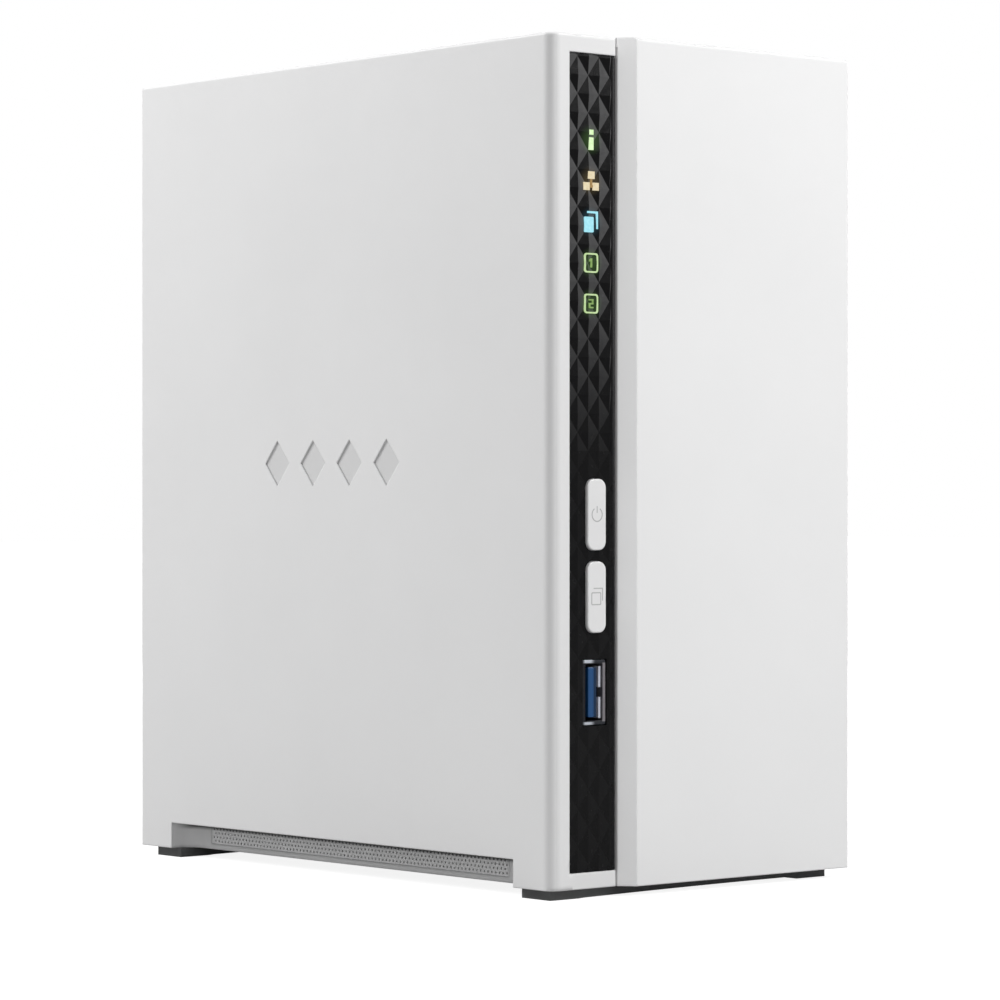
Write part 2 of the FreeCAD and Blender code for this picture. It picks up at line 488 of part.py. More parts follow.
# ------------------------------------------- backplane under the two drives
node("backplane", box("-20.5", "38.5", "-62", "32", "17", "17 + board_thick"))
standoffs += [rod("z", x, y, "cage_low + cage_sheet", "2.4", "6") for x, y in (("-17.5", "-50"), ("35.5", "-50"), ("-17.5", "28"), ("35.5", "28"))]
node("board_standoffs", group(standoffs))
node("backplane_link", fuse([box("-26", "-19.5", "-18", "18", "12.2", "16.2"), box("-19.7", "-17.5", "-18", "18", "12.2", "17")]))
sockets = []
plugs = []
for dx in ("drive_one_x", "drive_two_x"):
    sockets.append(cut(box(dx + " + 13.0", dx + " + 19.5", "-40", "2", "17 + board_thick", "26.9"),
                       [box(dx + " + 14.6", dx + " + 17.9", "-38.2", "0.2", "21", "28")]))
    plugs.append(box(dx + " + 15.3", dx + " + 17.2", "-37.4", "-0.6", "22", "drive_low_z + 6"))
node("backplane_sockets", group(sockets))
node("drive_plugs", group(plugs))

# ---------------------------------------------------------- drives and trays
y0d, y1d = "drive_front_y", "drive_front_y + drive_width"
z0d, z1d = "drive_low_z", "drive_low_z + drive_length"
screws = []
for nm, dx in (("drive_one", "drive_one_x"), ("drive_two", "drive_two_x")):
    base = box(dx + " + 1.3", dx + " + 24.4", y0d, y1d, z0d, z1d)
    holes = []
    for sz in ("28.5", "130.1"):
        holes.append(rod("y", dx + " + 17.5", y0d + " - 1", z0d + " + " + sz, "1.6", "6"))
        holes.append(rod("y", dx + " + 17.5", y1d + " - 5", z0d + " + " + sz, "1.6", "6"))
    relief = box(dx + " + 23.2", dx + " + 26", y0d + " + 6", y1d + " - 6", z0d + " - 1", z0d + " + 6")
    slot = box(dx + " + 14.9", dx + " + 17.6", "-38", "0", z0d + " - 1", z0d + " + 6")
    node(nm + "_casting", fillet(cut(base, holes + [relief, slot]), "2.2",
         lambda e, d=number(dx): along(e, "x") and e.BoundBox.XLength > 20))
    node(nm + "_lid", fillet(box(dx, dx + " + 1.3", y0d + " + 2.5", y1d + " - 2.5", z0d + " + 12", z1d + " - 2.5"), "5",
         lambda e: along(e, "x")))
    node(nm + "_board", box(dx + " + 24.4", dx + " + 26.1", y0d + " + 3", y1d + " - 3", z0d + " + 8", z0d + " + 92"))
    parts_ = [box(dx + " + 6", dx + " + 24", y0d + " - 2.1", y0d + " - 0.2", "36", "178.2"),
              box(dx + " + 6", dx + " + 24", y1d + " + 0.2", y1d + " + 2.1", "36", "178.2"),
              box(dx + " + 6", dx + " + 24", y0d + " - 2.1", y1d + " + 2.1", "176.2", "178.2")]
    tools_ = [rod("y", dx + " + 17.5", y + " - 3", z0d + " + " + sz, "1.7", "6") for y in (y0d, y1d) for sz in ("28.5", "130.1")]
    tools_ += [box(dx + " + 9", dx + " + 21", "-30", "-6", "175", "180")]
    node(nm + "_tray", cut(fuse(parts_), tools_))
    for sz in ("28.5", "130.1"):
        screws.append(fuse([rod("y", dx + " + 17.5", y0d + " - 3.4", z0d + " + " + sz, "2.9", "1.3"),
                            rod("y", dx + " + 17.5", y0d + " - 2.3", z0d + " + " + sz, "1.5", "6")]))
        screws.append(fuse([rod("y", dx + " + 17.5", y1d + " + 2.1", z0d + " + " + sz, "2.9", "1.3"),
                            rod("y", dx + " + 17.5", y1d + " - 3.7", z0d + " + " + sz, "1.5", "6")]))
node("cage_and_tray_screws", group(frame_screws + screws))

# ---------------------------------------------------------------------- fan
fy0, fy1 = "rear_inner_y - fan_deep", "rear_inner_y"
fr = new_body("fan_frame")
pad(fr, "y", fy0, fy1, [("rect", "fan_x - fan_size/2", "fan_z - fan_size/2", "fan_x + fan_size/2", "fan_z + fan_size/2")])
pocket(fr, "y", fy0 + " - 1", fy1 + " + 1", [("circle", "fan_x", "fan_z", "fan_bore")])
pocket(fr, "y", fy0 + " + 4", fy1 + " - 4", [("rect", "fan_x - fan_size/2 - 1", "fan_z %s" % a, "fan_x + fan_size/2 + 1", "fan_z %s" % b)
       for a, b in (("+ 28.95", "+ 31"), ("- 31", "- 28.95"))])
pad(fr, "y", "71", fy1, [("circle", "fan_x", "fan_z", "fan_hub + 0.6")])
for a in range(4):
    ang = math.radians(45 + 90 * a)
    ux, uz = math.cos(ang), math.sin(ang)
    pts = []
    for r_, w_ in ((10.5, -1.6), (29.3, -1.6), (29.3, 1.6), (10.5, 1.6)):
        pts.append(("fan_x + %.4f" % (ux * r_ - uz * w_), "fan_z + %.4f" % (uz * r_ + ux * w_)))
    pad(fr, "y", "71.4", fy1, [("poly", pts)])
pocket(fr, "y", "69", "72.8", [("circle", "fan_x", "fan_z", "1.55")])
pocket(fr, "y", fy0 + " - 1", fy1 + " + 1", [("circle", "fan_x %s fan_hole_pitch/2" % a, "fan_z %s fan_hole_pitch/2" % b, "screw_radius + 0.1") for a in "-+" for b in "-+"])
hub = rod("y", "fan_x", "54.2", "fan_z", "fan_hub", "16.2")
shaft = rod("y", "fan_x", "70", "fan_z", "1.5", "2.6")
blades = []
for a in range(7):
    bl = fresh("Part::Box", "blade")
    bl.Length = 20
    bl.Width = 21
    bl.Height = 1.3
    rot = FreeCAD.Rotation(V(0, 1, 0), -360.0 * a / 7).multiply(FreeCAD.Rotation(V(1, 0, 0), 42))
    bl.Placement = FreeCAD.Placement(V(D["fan_x"], 62.3, D["fan_z"]), rot, V(0, 0, 0)).multiply(FreeCAD.Placement(V(10, -10.5, -0.65), FreeCAD.Rotation()))
    blades.append(bl)
ring = rod("y", "fan_x", "54.6", "fan_z", "fan_tip", "15.2")
cm = fresh("Part::Common", "trimmed")
cm.Base = fuse(blades)
cm.Tool = ring
node("fan_rotor", fuse([hub, shaft, cm]))
node("fan_screws", group([fuse([rod("y", "fan_x %s fan_hole_pitch/2" % a, ry1 + " + grille_thick", "fan_z %s fan_hole_pitch/2" % b, "2.9", "1.35"),
     rod("y", "fan_x %s fan_hole_pitch/2" % a, "67", "fan_z %s fan_hole_pitch/2" % b, "screw_radius", "9.6")]) for a in "-+" for b in "-+"]))
rear_screws = ([fuse([rod("y", "39.2", ry1, z, "3.0", "2.15"), rod("y", "39.2", "66.5", z, "screw_radius", "9.5")]) for z in ("182.2", "11.2")])
# ---------------------------------------------------- intake mesh and feet
mesh_base = box("arch_depth - body_width/2 + 0.1", "arch_depth - body_width/2 + 0.9", "arch_front + 8.45", "arch_back - 8.45", "foot_height + 1.35", "foot_height + arch_height - 0.55")
pores = []
for j in range(2):
    for k in range(60):
        yy = -52.4 + 1.84 * k + (0.92 if j else 0.0)
        if yy > 56.2:
            continue
        pores.append(rod("x", "arch_depth - body_width/2 - 0.5", "%.3f" % yy, "foot_height + %.3f" % (2.65 + 1.8 * j), "0.55", "2.4"))
node("intake_mesh", cut(mesh_base, pores))
for nm, yf in (("front_foot", "foot_front_y"), ("rear_foot", "foot_rear_y")):
    f = new_body(nm)
    pad(f, "z", "0.4", low_z, [("rect", "foot_left", yf, "foot_right", yf + " + foot_deep")])
    pad(f, "z", "0", "0.6", [("rect", "foot_left", yf, "foot_left + 9", yf + " + foot_deep"),
                             ("rect", "foot_right - 9", yf, "foot_right", yf + " + foot_deep")])

# ---------------------------------------------------- fan lead, clipped run
# Flat three-wire lead from the fan frame to its header on the mainboard.
def lead(points, radius, bend):
    pts = [V(*p) for p in points]
    edges = []
    last = pts[0]
    for i in range(1, len(pts) - 1):
        a = (pts[i - 1] - pts[i]).normalize()
        b = (pts[i + 1] - pts[i]).normalize()
        half = a.getAngle(b) / 2
        cutback = bend / math.tan(half)
        p1_ = pts[i] + a * cutback
        p2_ = pts[i] + b * cutback
        mid_dir = (a + b).normalize()
        centre = pts[i] + mid_dir * (bend / math.sin(half))
        pm = centre - mid_dir * bend
        edges.append(Part.LineSegment(last, p1_).toShape())
        edges.append(Part.Arc(p1_, pm, p2_).toShape())
        last = p2_
    edges.append(Part.LineSegment(last, pts[-1]).toShape())
    path = Part.Wire(edges)
    start = (pts[1] - pts[0]).normalize()
    prof = Part.Wire([Part.Circle(pts[0], start, radius).toShape()])
    return path.makePipeShell([prof], True, False)


lead_obj = doc.addObject("Part::Feature", "FanLead")
lead_obj.Shape = lead([(sheet.lead_fan_x, sheet.lead_y, sheet.lead_low_z), (sheet.lead_fan_x, sheet.lead_y, sheet.lead_over_z),
                       (sheet.lead_header_x, sheet.lead_y, sheet.lead_over_z), (sheet.lead_header_x, sheet.lead_y, sheet.lead_header_z)],
                      sheet.lead_radius, sheet.lead_bend)
node("fan_lead", lead_obj)
node("fan_header", box("mainboard_x - 7.9", "mainboard_x", "54.5", "61.5", "170", "175.9"))

rear_screws += ([fuse([rod("y", x, ry1, z, "2.8", "1.6"), rod("y", x, "66.2", z, "screw_radius - 0.1", "9.6")]) for x, z in
             (("-39.6", "183.6"), ("-39.6", "8.2"), ("23.5", "8.2"))])
node("rear_screws", group(rear_screws))
# pilot holes for the rear panel screws in the shell's bosses
pocket(sh, "y", "66", "rear_inner_y + 0.5", [("circle", "-39.6", "183.6", "screw_radius"), ("circle", "-39.6", "8.2", "screw_radius"), ("circle", "23.5", "8.2", "screw_radius")])
pocket(sh, "y", frame_y + " + front_wall + 4", "-63.5", [("circle", "-40.35", "70", "0.85"), ("circle", "-40.35", "162", "0.85")])
pocket(sh, "z", "cage_low - 2", "cage_low + 0.5", [
    ("circle", "-16", "-60", "1.5"), ("circle", "32", "-60", "1.5"), ("circle", "-16", "38", "1.5"), ("circle", "32", "38", "1.5")])

# ------------------------------------------------------------------- checks
doc.recompute()
bad = [o.Name for o in doc.Objects if "Invalid" in o.State or "Error" in o.State]
if bad:
    raise RuntimeError("objects failed: %s" % bad)
for label, obj in nodes:
    shape = obj.Shape
    if shape.isNull() or not shape.isValid() or not shape.Solids:
        raise RuntimeError("bad shape: " + label)
    shape.exportStep("parts/%s.step" % label)
    bb = shape.BoundBox
    print("%-24s solids %2d  vol %10.1f  x %7.2f %7.2f  y %7.2f %7.2f  z %7.2f %7.2f" % (
        label, len(shape.Solids), shape.Volume, bb.XMin, bb.XMax, bb.YMin, bb.YMax, bb.ZMin, bb.ZMax))
print(len(nodes), "nodes")
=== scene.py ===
import bpy
import bmesh
import json
import math
from mathutils import Vector, Matrix


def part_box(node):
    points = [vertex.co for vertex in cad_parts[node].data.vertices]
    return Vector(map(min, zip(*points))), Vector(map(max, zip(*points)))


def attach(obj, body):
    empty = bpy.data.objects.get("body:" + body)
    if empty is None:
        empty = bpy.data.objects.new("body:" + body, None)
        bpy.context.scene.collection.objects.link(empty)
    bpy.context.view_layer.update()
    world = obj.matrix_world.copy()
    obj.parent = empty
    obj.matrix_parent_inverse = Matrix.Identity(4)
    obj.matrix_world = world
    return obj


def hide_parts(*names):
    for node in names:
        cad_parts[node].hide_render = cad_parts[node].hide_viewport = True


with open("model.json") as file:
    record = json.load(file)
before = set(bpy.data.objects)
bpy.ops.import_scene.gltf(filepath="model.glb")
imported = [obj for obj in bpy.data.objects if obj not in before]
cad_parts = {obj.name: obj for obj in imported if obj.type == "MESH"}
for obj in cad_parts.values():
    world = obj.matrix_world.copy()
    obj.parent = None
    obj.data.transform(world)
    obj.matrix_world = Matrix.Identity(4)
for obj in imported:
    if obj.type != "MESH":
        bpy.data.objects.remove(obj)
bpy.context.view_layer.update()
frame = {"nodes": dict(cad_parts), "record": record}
nodes = frame["nodes"]
MM = 0.001


# =============================================================== materials
def new_mat(name):
    m = bpy.data.materials.new(name)
    m.use_nodes = True
    nt = m.node_tree
    bsdf = nt.nodes["Principled BSDF"]
    return m, nt, bsdf


def nod(nt, kind, **vals):
    n = nt.nodes.new(kind)
    for k, v in vals.items():
        if k in n.inputs:
            n.inputs[k].default_value = v
        else:
            setattr(n, k, v)
    return n


def coords(nt, stretch=(1, 1, 1)):
    tc = nod(nt, "ShaderNodeTexCoord")
    if stretch == (1, 1, 1):
        return tc.outputs["Object"]
    mp = nod(nt, "ShaderNodeMapping")
    mp.inputs["Scale"].default_value = stretch
    nt.links.new(tc.outputs["Object"], mp.inputs["Vector"])
    return mp.outputs["Vector"]


def noise(nt, vec, scale, detail=2.0, rough=0.5):
    n = nod(nt, "ShaderNodeTexNoise", Scale=scale, Detail=detail, Roughness=rough)
    nt.links.new(vec, n.inputs["Vector"])
    return n.outputs["Fac"]


def remap(nt, fac, lo, hi, a, b, smooth=False):
    n = nod(nt, "ShaderNodeMapRange")
    if smooth:
        n.interpolation_type = "SMOOTHSTEP"
    nt.links.new(fac, n.inputs["Value"])
    n.inputs["From Min"].default_value = lo
    n.inputs["From Max"].default_value = hi
    n.inputs["To Min"].default_value = a
    n.inputs["To Max"].default_value = b
    return n.outputs["Result"]


def mixcol(nt, fac, c1, c2, mode="MIX"):
    n = nod(nt, "ShaderNodeMix")
    n.data_type = "RGBA"
    n.blend_type = mode
    if isinstance(fac, (int, float)):
        n.inputs["Factor"].default_value = fac
    else:
        nt.links.new(fac, n.inputs["Factor"])
    for sock, c in (("A", c1), ("B", c2)):
        s = [i for i in n.inputs if i.name == sock and i.type == "RGBA"][0]
        if isinstance(c, (tuple, list)):
            s.default_value = tuple(c)[:3] + (1.0,)
        else:
            nt.links.new(c, s)
    return [o for o in n.outputs if o.type == "RGBA"][0]


def math_n(nt, op, a, b=None):
    n = nod(nt, "ShaderNodeMath", operation=op)
    for i, v in enumerate((a, b)):
        if v is None:
            continue
        if isinstance(v, (int, float)):
            n.inputs[i].default_value = v
        else:
            nt.links.new(v, n.inputs[i])
    return n.outputs[0]


def bump(nt, bsdf, height, strength, distance, after=None):
    b = nod(nt, "ShaderNodeBump", Strength=strength, Distance=distance)
    nt.links.new(height, b.inputs["Height"])
    if after is not None:
        nt.links.new(after, b.inputs["Normal"])
    nt.links.new(b.outputs["Normal"], bsdf.inputs["Normal"])
    return b.outputs["Normal"]


def plastic(name, color, rough=0.42, spec=0.45, grain=5200, grain_h=0.000012, grain_s=0.25, tone=0.03, edge=0.0, coat=0.0, extra=None):
    """Moulded plastic: fine spark grain, slow tone change, uneven gloss, softened edges."""
    m, nt, b = new_mat(name)
    v = coords(nt)
    dark = tuple(c * (1 - tone) for c in color)
    light = tuple(min(1, c * (1 + tone * 0.6)) for c in color)
    n1 = noise(nt, v, 34, 3)
    n2 = noise(nt, v, 900, 2)
    base = mixcol(nt, remap(nt, n1, 0.3, 0.7, 0, 1), dark, light)
    base = mixcol(nt, remap(nt, n2, 0.35, 0.75, 0, tone * 1.3), base, tuple(c * 0.8 for c in color))
    if extra:
        base = extra(nt, v, base)
    nt.links.new(base, b.inputs["Base Color"])
    nt.links.new(remap(nt, noise(nt, v, 260, 3), 0.3, 0.7, rough - 0.05, rough + 0.06), b.inputs["Roughness"])
    b.inputs["Specular IOR Level"].default_value = spec
    if coat:
        b.inputs["Coat Weight"].default_value = coat
        b.inputs["Coat Roughness"].default_value = 0.12
    after = None
    if edge:
        be = nod(nt, "ShaderNodeBevel", Radius=edge)
        be.samples = 6
        if name == "shell_white":
            sp = nod(nt, "ShaderNodeSeparateXYZ")
            nt.links.new(v, sp.inputs[0])
            cove = math_n(nt, "MULTIPLY", math_n(nt, "LESS_THAN", sp.outputs["Z"], 0.00845), math_n(nt, "GREATER_THAN", sp.outputs["X"], -0.0446))
            cove = math_n(nt, "MULTIPLY", cove, math_n(nt, "LESS_THAN", sp.outputs["X"], -0.0385))
            nt.links.new(remap(nt, cove, 0, 1, edge, 0.0016), be.inputs["Radius"])
        after = be.outputs["Normal"]
    h = math_n(nt, "ADD", noise(nt, v, grain, 2, 0.6), math_n(nt, "MULTIPLY", noise(nt, v, grain * 0.35, 1), 0.5))
    bump(nt, b, h, grain_s, grain_h, after)
    return m


def metal(name, color, rough=0.3, axis=2, stretch=40, scratch=0.05, spec=0.5, edge=0.0):
    """Sheet metal with drawn lines along one axis and faint blotches."""
    m, nt, b = new_mat(name)
    st = [1.0, 1.0, 1.0]
    st[axis] = 1.0 / stretch
    v = coords(nt, tuple(st))
    v0 = coords(nt)
    lines = noise(nt, v, 1500, 2, 0.5)
    blot = noise(nt, v0, 120, 3)
    base = mixcol(nt, remap(nt, lines, 0.3, 0.7, 0, 1), tuple(c * 0.86 for c in color), tuple(min(1, c * 1.06) for c in color))
    base = mixcol(nt, remap(nt, blot, 0.4, 0.8, 0, 0.25), base, tuple(c * 0.75 for c in color))
    nt.links.new(base, b.inputs["Base Color"])
    b.inputs["Metallic"].default_value = 1.0
    nt.links.new(remap(nt, lines, 0.25, 0.75, rough - scratch, rough + scratch), b.inputs["Roughness"])
    after = None
    if edge:
        be = nod(nt, "ShaderNodeBevel", Radius=edge)
        be.samples = 4
        after = be.outputs["Normal"]
    bump(nt, b, lines, 0.1, 0.000006, after)
    return m


WHITE = (0.80, 0.80, 0.80)
M = {}


def recess_shade(nt, sp, base):
    """Painted shade under the roof of the side intake: darker towards the roof and deeper in."""
    zone = math_n(nt, "MULTIPLY", math_n(nt, "LESS_THAN", sp.outputs["Z"], 0.00852), math_n(nt, "GREATER_THAN", sp.outputs["X"], -0.0446))
    zone = math_n(nt, "MULTIPLY", zone, math_n(nt, "LESS_THAN", sp.outputs["X"], -0.0370))
    zone = math_n(nt, "MULTIPLY", zone, math_n(nt, "LESS_THAN", math_n(nt, "ABSOLUTE", sp.outputs["Y"]), 0.0660))
    roof = remap(nt, sp.outputs["Z"], 0.0066, 0.0077, 0.0, 0.95, True)
    deep = remap(nt, sp.outputs["X"], -0.0440, -0.0390, 0.0, 1.0, True)
    return mixcol(nt, math_n(nt, "MULTIPLY", math_n(nt, "MULTIPLY", zone, deep), roof), base, (0.02, 0.02, 0.02))


def top_painted_shade(nt, sn, base):
    """Painted shade: the upward faces are coloured a little darker than the polished walls."""
    return mixcol(nt, remap(nt, sn.outputs["Z"], 0.95, 0.995, 0.0, 1.0, True), base, (0.57, 0.57, 0.57))


def sunk_mark_and_painted_shade(nt, v, base):
    """The sunk figures on the side are coloured a little darker than the polished wall; the front faces, the upward
    faces and the intake recess get painted shade.
    """
    sp = nod(nt, "ShaderNodeSeparateXYZ")
    nt.links.new(v, sp.inputs[0])
    deep = math_n(nt, "GREATER_THAN", sp.outputs["X"], -0.04455)
    deep = math_n(nt, "MULTIPLY", deep, math_n(nt, "LESS_THAN", sp.outputs["X"], -0.0440))
    deep = math_n(nt, "MULTIPLY", deep, math_n(nt, "GREATER_THAN", sp.outputs["Z"], 0.0900))
    deep = math_n(nt, "MULTIPLY", deep, math_n(nt, "LESS_THAN", sp.outputs["Z"], 0.1020))
    deep = math_n(nt, "MULTIPLY", deep, math_n(nt, "LESS_THAN", math_n(nt, "ABSOLUTE", sp.outputs["Y"]), 0.0400))
    base = mixcol(nt, deep, base, (0.685, 0.685, 0.685))
    geo = nod(nt, "ShaderNodeNewGeometry")
    sn = nod(nt, "ShaderNodeSeparateXYZ")
    nt.links.new(geo.outputs["True Normal"], sn.inputs[0])
    # painted shade: the front faces are coloured a little darker
    front = math_n(nt, "LESS_THAN", sn.outputs["Y"], -0.9)
    front = math_n(nt, "MULTIPLY", front, math_n(nt, "LESS_THAN", sp.outputs["Y"], -0.0740))
    base = mixcol(nt, front, base, (0.745, 0.745, 0.745))
    base = top_painted_shade(nt, sn, base)
    return recess_shade(nt, sp, base)


def bevel_painted_light(nt, v, base):
    """Painted light: the step beside the window is coloured a touch lighter than the rest, and the upward faces get
    painted shade.
    """
    geo = nod(nt, "ShaderNodeNewGeometry")
    sp = nod(nt, "ShaderNodeSeparateXYZ")
    nt.links.new(geo.outputs["True Normal"], sp.inputs[0])
    on = math_n(nt, "MULTIPLY", math_n(nt, "LESS_THAN", sp.outputs["X"], -0.5), math_n(nt, "LESS_THAN", sp.outputs["Y"], -0.5))
    return top_painted_shade(nt, sp, mixcol(nt, on, base, (0.98, 0.98, 0.98)))


M["shell"] = plastic("shell_white", WHITE, rough=0.40, spec=0.40, grain=4200, grain_h=0.000010, grain_s=0.20, tone=0.012, edge=0.00045, extra=sunk_mark_and_painted_shade)
M["cover"] = cover_m = plastic("cover_white", WHITE, rough=0.40, spec=0.40, grain=4200, grain_h=0.000010, grain_s=0.20, tone=0.012, edge=0.00045, extra=bevel_painted_light)
# painted light: the step beside the window glows faintly, more towards the top
nt_c = cover_m.node_tree
geo_c = nod(nt_c, "ShaderNodeNewGeometry")
sep_c = nod(nt_c, "ShaderNodeSeparateXYZ")
nt_c.links.new(geo_c.outputs["True Normal"], sep_c.inputs[0])
painted_glow_mask = math_n(nt_c, "MULTIPLY", math_n(nt_c, "LESS_THAN", sep_c.outputs["X"], -0.5), math_n(nt_c, "LESS_THAN", sep_c.outputs["Y"], -0.5))
pos_c = nod(nt_c, "ShaderNodeSeparateXYZ")
nt_c.links.new(coords(nt_c), pos_c.inputs[0])
painted_glow_rise = remap(nt_c, pos_c.outputs["Z"], 0.0, 0.19, 0.045, 0.125)
nt_c.nodes["Principled BSDF"].inputs["Emission Color"].default_value = (1, 1, 1, 1)
nt_c.links.new(math_n(nt_c, "MULTIPLY", painted_glow_mask, painted_glow_rise), nt_c.nodes["Principled BSDF"].inputs["Emission Strength"])
M["rear"] = plastic("rear_white", (0.60, 0.60, 0.60), rough=0.46, spec=0.4, grain=3000, grain_h=0.000016, grain_s=0.35, tone=0.02, edge=0.0003)
M["grille"] = plastic("grille_coated", (0.70, 0.70, 0.70), rough=0.42, spec=0.45, grain=2400, grain_h=0.00002, grain_s=0.4, tone=0.02, edge=0.00015)
M["button"] = plastic("button_white", (0.74, 0.74, 0.74), rough=0.36, spec=0.45, grain=5200, grain_h=0.000006, grain_s=0.2, tone=0.02, edge=0.0002)
M["dark"] = plastic("dark_moulded", (0.018, 0.018, 0.02), rough=0.45, spec=0.4, grain=2600, grain_h=0.00002, grain_s=0.4, tone=0.2)
M["fan"] = plastic("fan_black", (0.014, 0.014, 0.016), rough=0.38, spec=0.45, grain=2200, grain_h=0.000018, grain_s=0.35, tone=0.2)
M["tray"] = plastic("tray_black", (0.03, 0.03, 0.033), rough=0.5, spec=0.4, grain=2400, grain_h=0.00002, grain_s=0.4, tone=0.15)
M["rubber"] = plastic("foot_rubber", (0.155, 0.158, 0.158), rough=0.75, spec=0.25, grain=1900, grain_h=0.00004, grain_s=0.6, tone=0.14)
# painted shade: a darker copy of the tongue blue, used on the stepped block
M["blue_deep"] = plastic("tongue_blue_painted_shade", (0.003, 0.021, 0.058), rough=0.4, spec=0.3, grain=3600, grain_h=0.00001, grain_s=0.3, tone=0.10)
M["blue"] = plastic("tongue_blue", (0.006, 0.062, 0.185), rough=0.34, spec=0.45, grain=3600, grain_h=0.00001, grain_s=0.3, tone=0.10)
M["nylon"] = plastic("nylon_cream", (0.62, 0.58, 0.48), rough=0.5, spec=0.4, grain=2600, grain_h=0.00002, tone=0.06)
def mesh_shade(nt, v, base):
    sp = nod(nt, "ShaderNodeSeparateXYZ")
    nt.links.new(v, sp.inputs[0])
    # painted shade under the roof of the side intake
    return recess_shade(nt, sp, base)


M["mesh"] = plastic("mesh_white", (0.88, 0.88, 0.88), rough=0.5, spec=0.35, grain=3600, grain_h=0.00001, tone=0.03, extra=mesh_shade)
M["lead"] = plastic("lead_black", (0.02, 0.02, 0.022), rough=0.5, spec=0.4, grain=1500, grain_h=0.00003, tone=0.2)
M["nickel"] = metal("socket_nickel", (0.60, 0.60, 0.61), rough=0.26, axis=1, edge=0.0001)
M["steel"] = metal("cage_steel", (0.50, 0.51, 0.52), rough=0.38, axis=1, stretch=18)
M["screw"] = metal("screw_zinc", (0.46, 0.46, 0.47), rough=0.32, axis=1, stretch=3)
M["alu"] = metal("heatsink_aluminium", (0.58, 0.60, 0.62), rough=0.34, axis=1, stretch=30)
M["gold"] = metal("contact_gold", (0.80, 0.58, 0.25), rough=0.28, axis=1, stretch=12)
M["cast"] = metal("drive_cast", (0.16, 0.16, 0.17), rough=0.5, axis=2, stretch=1.5)


def board_mat():
    m, nt, b = new_mat("circuit_board")
    v = coords(nt)
    vo = nod(nt, "ShaderNodeTexVoronoi", Scale=420.0)
    vo.feature = "DISTANCE_TO_EDGE"
    vo.distance = "EUCLIDEAN"
    nt.links.new(v, vo.inputs["Vector"])
    tr = remap(nt, vo.outputs["Distance"], 0.02, 0.05, 1, 0)
    dots = nod(nt, "ShaderNodeTexVoronoi", Scale=260.0)
    nt.links.new(v, dots.inputs["Vector"])
    via = remap(nt, dots.outputs["Distance"], 0.10, 0.14, 1, 0)
    col = mixcol(nt, tr, (0.010, 0.085, 0.035), (0.020, 0.17, 0.07))
    col = mixcol(nt, via, col, (0.55, 0.46, 0.22))
    nt.links.new(col, b.inputs["Base Color"])
    nt.links.new(remap(nt, noise(nt, v, 300, 2), 0.3, 0.7, 0.28, 0.42), b.inputs["Roughness"])
    bump(nt, b, tr, 0.3, 0.00003)
    return m


M["board"] = board_mat()

ICONS = {"power": 166.6, "network": 157.6, "copy": 148.6, "drive_one": 139.6, "drive_two": 130.65}
ICON_X = -32.75
GLOW = {"power": (0.45, 1.0, 0.25), "network": (1.0, 0.75, 0.35), "copy": (0.25, 0.75, 1.0), "drive_one": (0.45, 1.0, 0.25), "drive_two": (0.45, 1.0, 0.25)}


